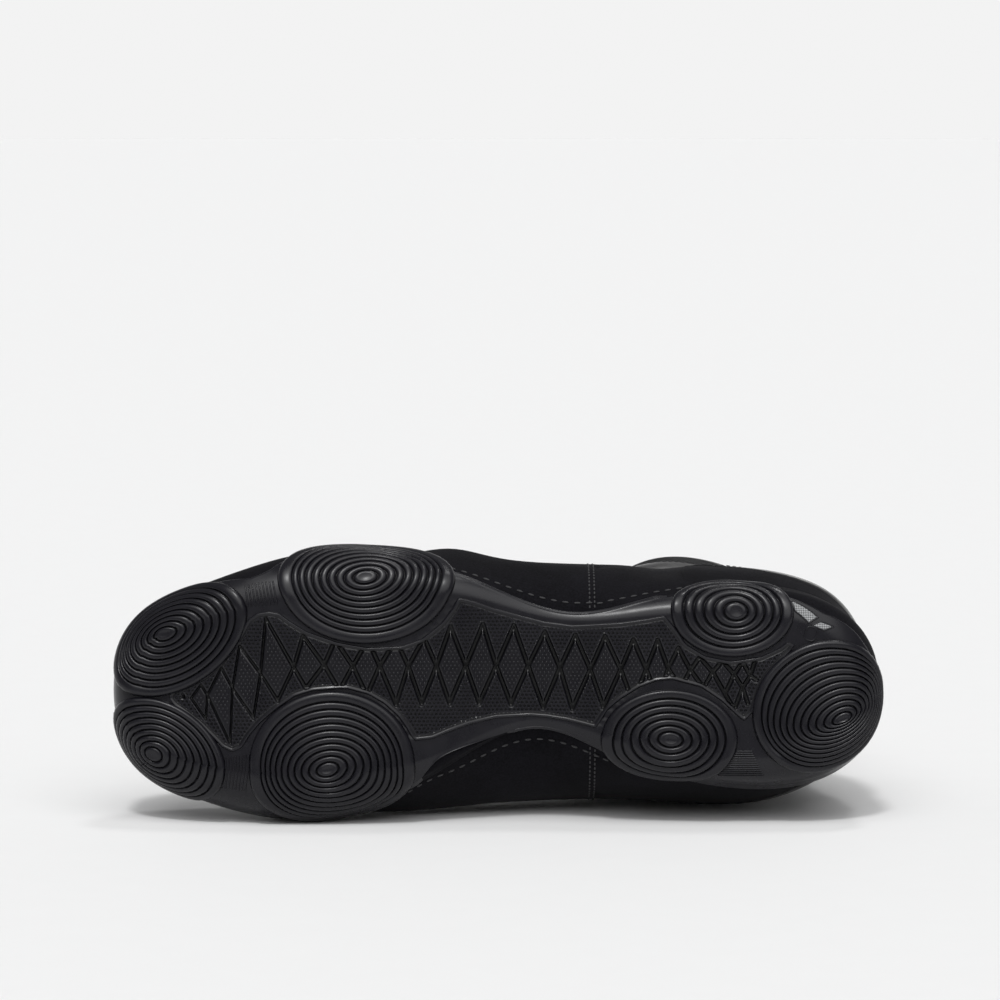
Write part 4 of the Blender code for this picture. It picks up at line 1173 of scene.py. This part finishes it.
# Heel windows: two patches of pale mesh let into the rubber between the heel pods, each in a raised frame
windowShape = {"rise": 0.3, "frame": 0.32, "tab": (2.1, 2.6), "tabAt": np.array((259.2, -17.4)), "patches": (
    ((-139.9, 2.24), (-148.4, 1.68), (-146.2, 1.20), (-141.6, 1.60)),
    ((-147.4, 1.14), (-149.6, 1.52), (-154.6, 1.66), (-152.2, 1.20)))}
frames = []
for k, corners in enumerate(windowShape["patches"]):
    a, b, c, d = (np.array(p) for p in corners)
    s, t = (v[..., None] for v in np.meshgrid(np.linspace(0, 1, 16), np.linspace(0, 1, 12)))
    spots = (a * (1 - s) + b * s) * (1 - t) + (d * (1 - s) + c * s) * t
    turn, row = np.radians(spots[..., 0]), spots[..., 1]
    full = np.sqrt(np.sin(np.pi * s) * np.sin(np.pi * t) + 1e-9)[..., 0]
    outer = offLast(turn, row, soleFace + 0.05 + windowShape["rise"] * full)
    inner = offLast(turn, row, soleFace - 0.8)
    patch = addPlate("heel_window_" + str(k), outer, inner, windowCloth,
                     marks={"alongMm": outer[..., 0] - outer[..., 1], "acrossMm": outer[..., 0] + outer[..., 1]})
    settle(patch)
    frames.append(rimOf(outer))
spin = np.linspace(0, 2 * np.pi, 28, endpoint=False)
tab = np.column_stack([half * rounded(part(spin), 0.7) for half, part in zip(windowShape["tab"], (np.cos, np.sin))])
frames.append(onSole(windowShape["tabAt"] + tab @ np.array(((0.95, 0.3), (-0.3, 0.95))), 0.0))
windowFrames = addCords("window_frames", frames, {"Radius": windowShape["frame"] * 1e-3, "Sides": 8, "Finish": rubber},
                        closed=True)
settle(windowFrames)

# Stitches: each line is a run of points on the shoe; beads of thread follow it
stitchShape = {"heavy": (4.4, 2.6, 0.9, 0.7), "plain": (2.4, 1.7, 0.65, 0.45)}  # spacing, length, width, height
stitchPlaces = {"archLift": 6.0, "archDip": (2.4, 119, 9), "seamSides": (-3.0, -1.2), "seamRows": (4.12, 9.5),
                "stayInset": 0.288, "throatInset": 0.035, "collarRow": 9.92, "collarGap": 0.3, "floor": 0.0012}


def stitchRun(turn, row, away, spacing):  # even spacing along a line on the last
    turn, row, away = (np.asarray(v, float) for v in np.broadcast_arrays(turn, row, away))
    path = offLast(turn, row, away)
    length = pathLength(path)
    at = np.arange(spacing / 2, length[-1], spacing)

    def read(values, where):
        return np.column_stack([np.interp(where, length, values[:, k]) for k in range(3)])

    spots = read(path, at)
    return spots, read(path, at + 0.5) - spots, read(offLast(turn, row, away + 1.0) - path, at)


def atX(x, row, side, span=(0.3, 2.9)):  # the turn where a row crosses this x on one side
    fine = np.linspace(*span, 400) * side
    found = lastPoint(fine, np.full(400, row))[:, 0]
    return np.interp(x, found, fine)


stitchLines = {"heavy": [], "plain": []}
heavyStep, plainStep = stitchShape["heavy"][0], stitchShape["plain"][0]
for side, first, last in ((-1, 121.0, 214.0), (1, 106.0, 205.0)):  # along both arches, just above the rubber
    fine = np.linspace(0.3, 2.9, 700) * side
    x = soleOutline(fine)[:, 0]
    part = (x > first) & (x < last)
    line = fine[part]
    dip, *dipsAt = stitchPlaces["archDip"]
    row = soleTop(line) + (stitchPlaces["archLift"] - dip * bump(x[part], *dipsAt) * (side > 0)) / rowLength(line, 4)
    swell = upperSwell(line, row, offLast(line, row, 0.0))
    stitchLines["heavy"].append(stitchRun(line, row, swell + 0.1, heavyStep))
for side in (-1, 1):  # two rows beside the seam up each side
    for shift in stitchPlaces["seamSides"]:
        rowLine = np.linspace(*stitchPlaces["seamRows"], 80)
        turnLine = np.array([atX(upperShape["seamX"] + shift, r, side) for r in rowLine])
        full = fullness(turnLine, rowLine, upperShape["seamX"] + shift)
        stitchLines["plain"].append(stitchRun(turnLine, rowLine, upperShape["seamStep"] + full + 0.05, plainStep))
    line = stayRows[:, 0]
    for edgeTurn, skip in ((columnTurn(line, stayShape["columns"] - stitchPlaces["stayInset"]), 2),
                           (throatAt(line) + stitchPlaces["throatInset"], 4)):
        edgeTurn = side * edgeTurn  # along both edges of the eyestay
        away = stayLift + np.maximum(upperSwell(edgeTurn, line, offLast(edgeTurn, line, 0.0)), -0.2) + 0.02
        stitchLines["plain"].append(stitchRun(edgeTurn[skip:-2], line[skip:-2], away[skip:-2], plainStep))
stitchLines["plain"].append(stitchRun(back[3:-3], crown[3:-3] - 0.07, counterOff[-1, 3:-3] + shoe["overlay"] * 0.8,
                                      plainStep))
collarFrom, collarRow = throatAt(upperShape["padRow"]) + stitchPlaces["collarGap"], stitchPlaces["collarRow"]
collarTurn = wholeTurn(np.linspace(collarFrom, 2 * np.pi - collarFrom, 300))
collarSwell = upperSwell(collarTurn, np.full(300, collarRow), offLast(collarTurn, collarRow, 0.0))
stitchLines["plain"].append(stitchRun(collarTurn, collarRow, collarSwell + 0.1, plainStep))
for kind, lines in stitchLines.items():
    spacing, length, width, height = stitchShape[kind]
    spots, ahead, facing = (np.concatenate(v) for v in zip(*lines))
    clear = toWorld(spots)[:, 2] > stitchPlaces["floor"]  # none where the upper lies on the floor
    spots, ahead, facing = spots[clear], ahead[clear], facing[clear]
    seam = addBeads("stitches_" + kind, spots, ahead, facing,
                    {"Length": length * 1e-3, "Width": width * 1e-3, "Height": height * 1e-3, "Segments": 8, "Rings": 5,
                     "Finish": thread})
    settle(seam)
print("stitches ready")

# Stage: a pale floor under one broad overhead light, bright behind and dim on the camera's side
stageShape = {"width": 120.0, "front": -8.0, "back": 90.0, "colour": (0.841, 0.842, 0.843)}
floorFinish, floorTree, floorShader = newFinish("pale_floor", stageShape["colour"], 0.8, {"Specular IOR Level": 0.15})
speck = spread(floorTree, noiseOn(floorTree, 60.0), 0.35, 0.65)
floorTree.links.new(mixColours(floorTree, speck, stageShape["colour"], tuple(c * 0.995 for c in stageShape["colour"])),
                    floorShader.inputs["Base Color"])
stageData = bpy.data.meshes.new("studio_floor")
half, front, back = stageShape["width"] / 2, stageShape["front"], stageShape["back"]
stageData.from_pydata([(-half, front, 0), (half, front, 0), (half, back, 0), (-half, back, 0)], [], [(0, 1, 2, 3)])
stageData.materials.append(floorFinish)
studio = addObject("studio_floor", stageData)

lightShape = {"dim": 0.19, "glow": 0.705, "behind": (-0.1, 0.35), "low": (0.22, 0.5), "lamps": (
    # name, energy, angle, where it comes from
    ("overhead", 1.7, 66.0, (0.08, -0.72, 1.0)), ("key_light", 1.1, 8.0, (-0.1, -0.6, 1.0)),
    ("rim_light", 0.4, 9.0, (0.18, 0.25, 1.0)))}
world = bpy.data.worlds.new("studio")
bpy.context.scene.world = world
world.use_nodes = True
worldTree = world.node_tree
way = addNode(worldTree, "ShaderNodeSeparateXYZ")
worldTree.links.new(addNode(worldTree, "ShaderNodeTexCoord").outputs["Generated"], way.inputs[0])
behind = spread(worldTree, way.outputs[1], *lightShape["behind"], 0.0, lightShape["glow"])
lowDown = spread(worldTree, way.outputs[2], *lightShape["low"], 1.0, 0.0)
worldTree.links.new(mathOn(worldTree, "MULTIPLY_ADD", behind, lowDown, lightShape["dim"]),
                    worldTree.nodes["Background"].inputs["Strength"])
worldTree.nodes["Background"].inputs["Color"].default_value = (1.0, 1.0, 1.0, 1.0)
for name, energy, angle, place in lightShape["lamps"]:
    lamp = bpy.data.lights.new(name, "SUN")
    lamp.energy = energy
    lamp.angle = math.radians(angle)
    light = addObject(name, lamp)
    light.rotation_mode = "QUATERNION"
    light.rotation_quaternion = (-Vector(place)).to_track_quat("-Z", "Y")

# Camera: level with the sole's own direction, the shoe low in the frame
view = {"target": (143.5, 0.0, 0.0), "distance": 1.51, "elevation": 7.74, "below": 182.0, "focal": 4099.0,
        "side": 0.0011, "sensor": 36.0, "pixels": 1000.0, "clip": (0.05, 200.0)}
camera = bpy.data.cameras.new("camera")
camera.sensor_width = view["sensor"]
camera.lens = view["sensor"] * view["focal"] / view["pixels"]
camera.clip_start, camera.clip_end = view["clip"]
eye = addObject("camera", camera)
middleOfSole = toWorld(np.array([view["target"]]))[0]
down = math.radians(view["elevation"])
eye.location = (middleOfSole[0] + view["side"], middleOfSole[1] - view["distance"] * math.cos(down),
                middleOfSole[2] + view["distance"] * math.sin(down))
pitchDown = down - math.atan(view["below"] / view["focal"])
eye.rotation_euler = (math.pi / 2 - pitchDown, 0.0, 0.0)
bpy.context.scene.camera = eye
bpy.context.scene.view_settings.view_transform = "Standard"

print("scene ready")
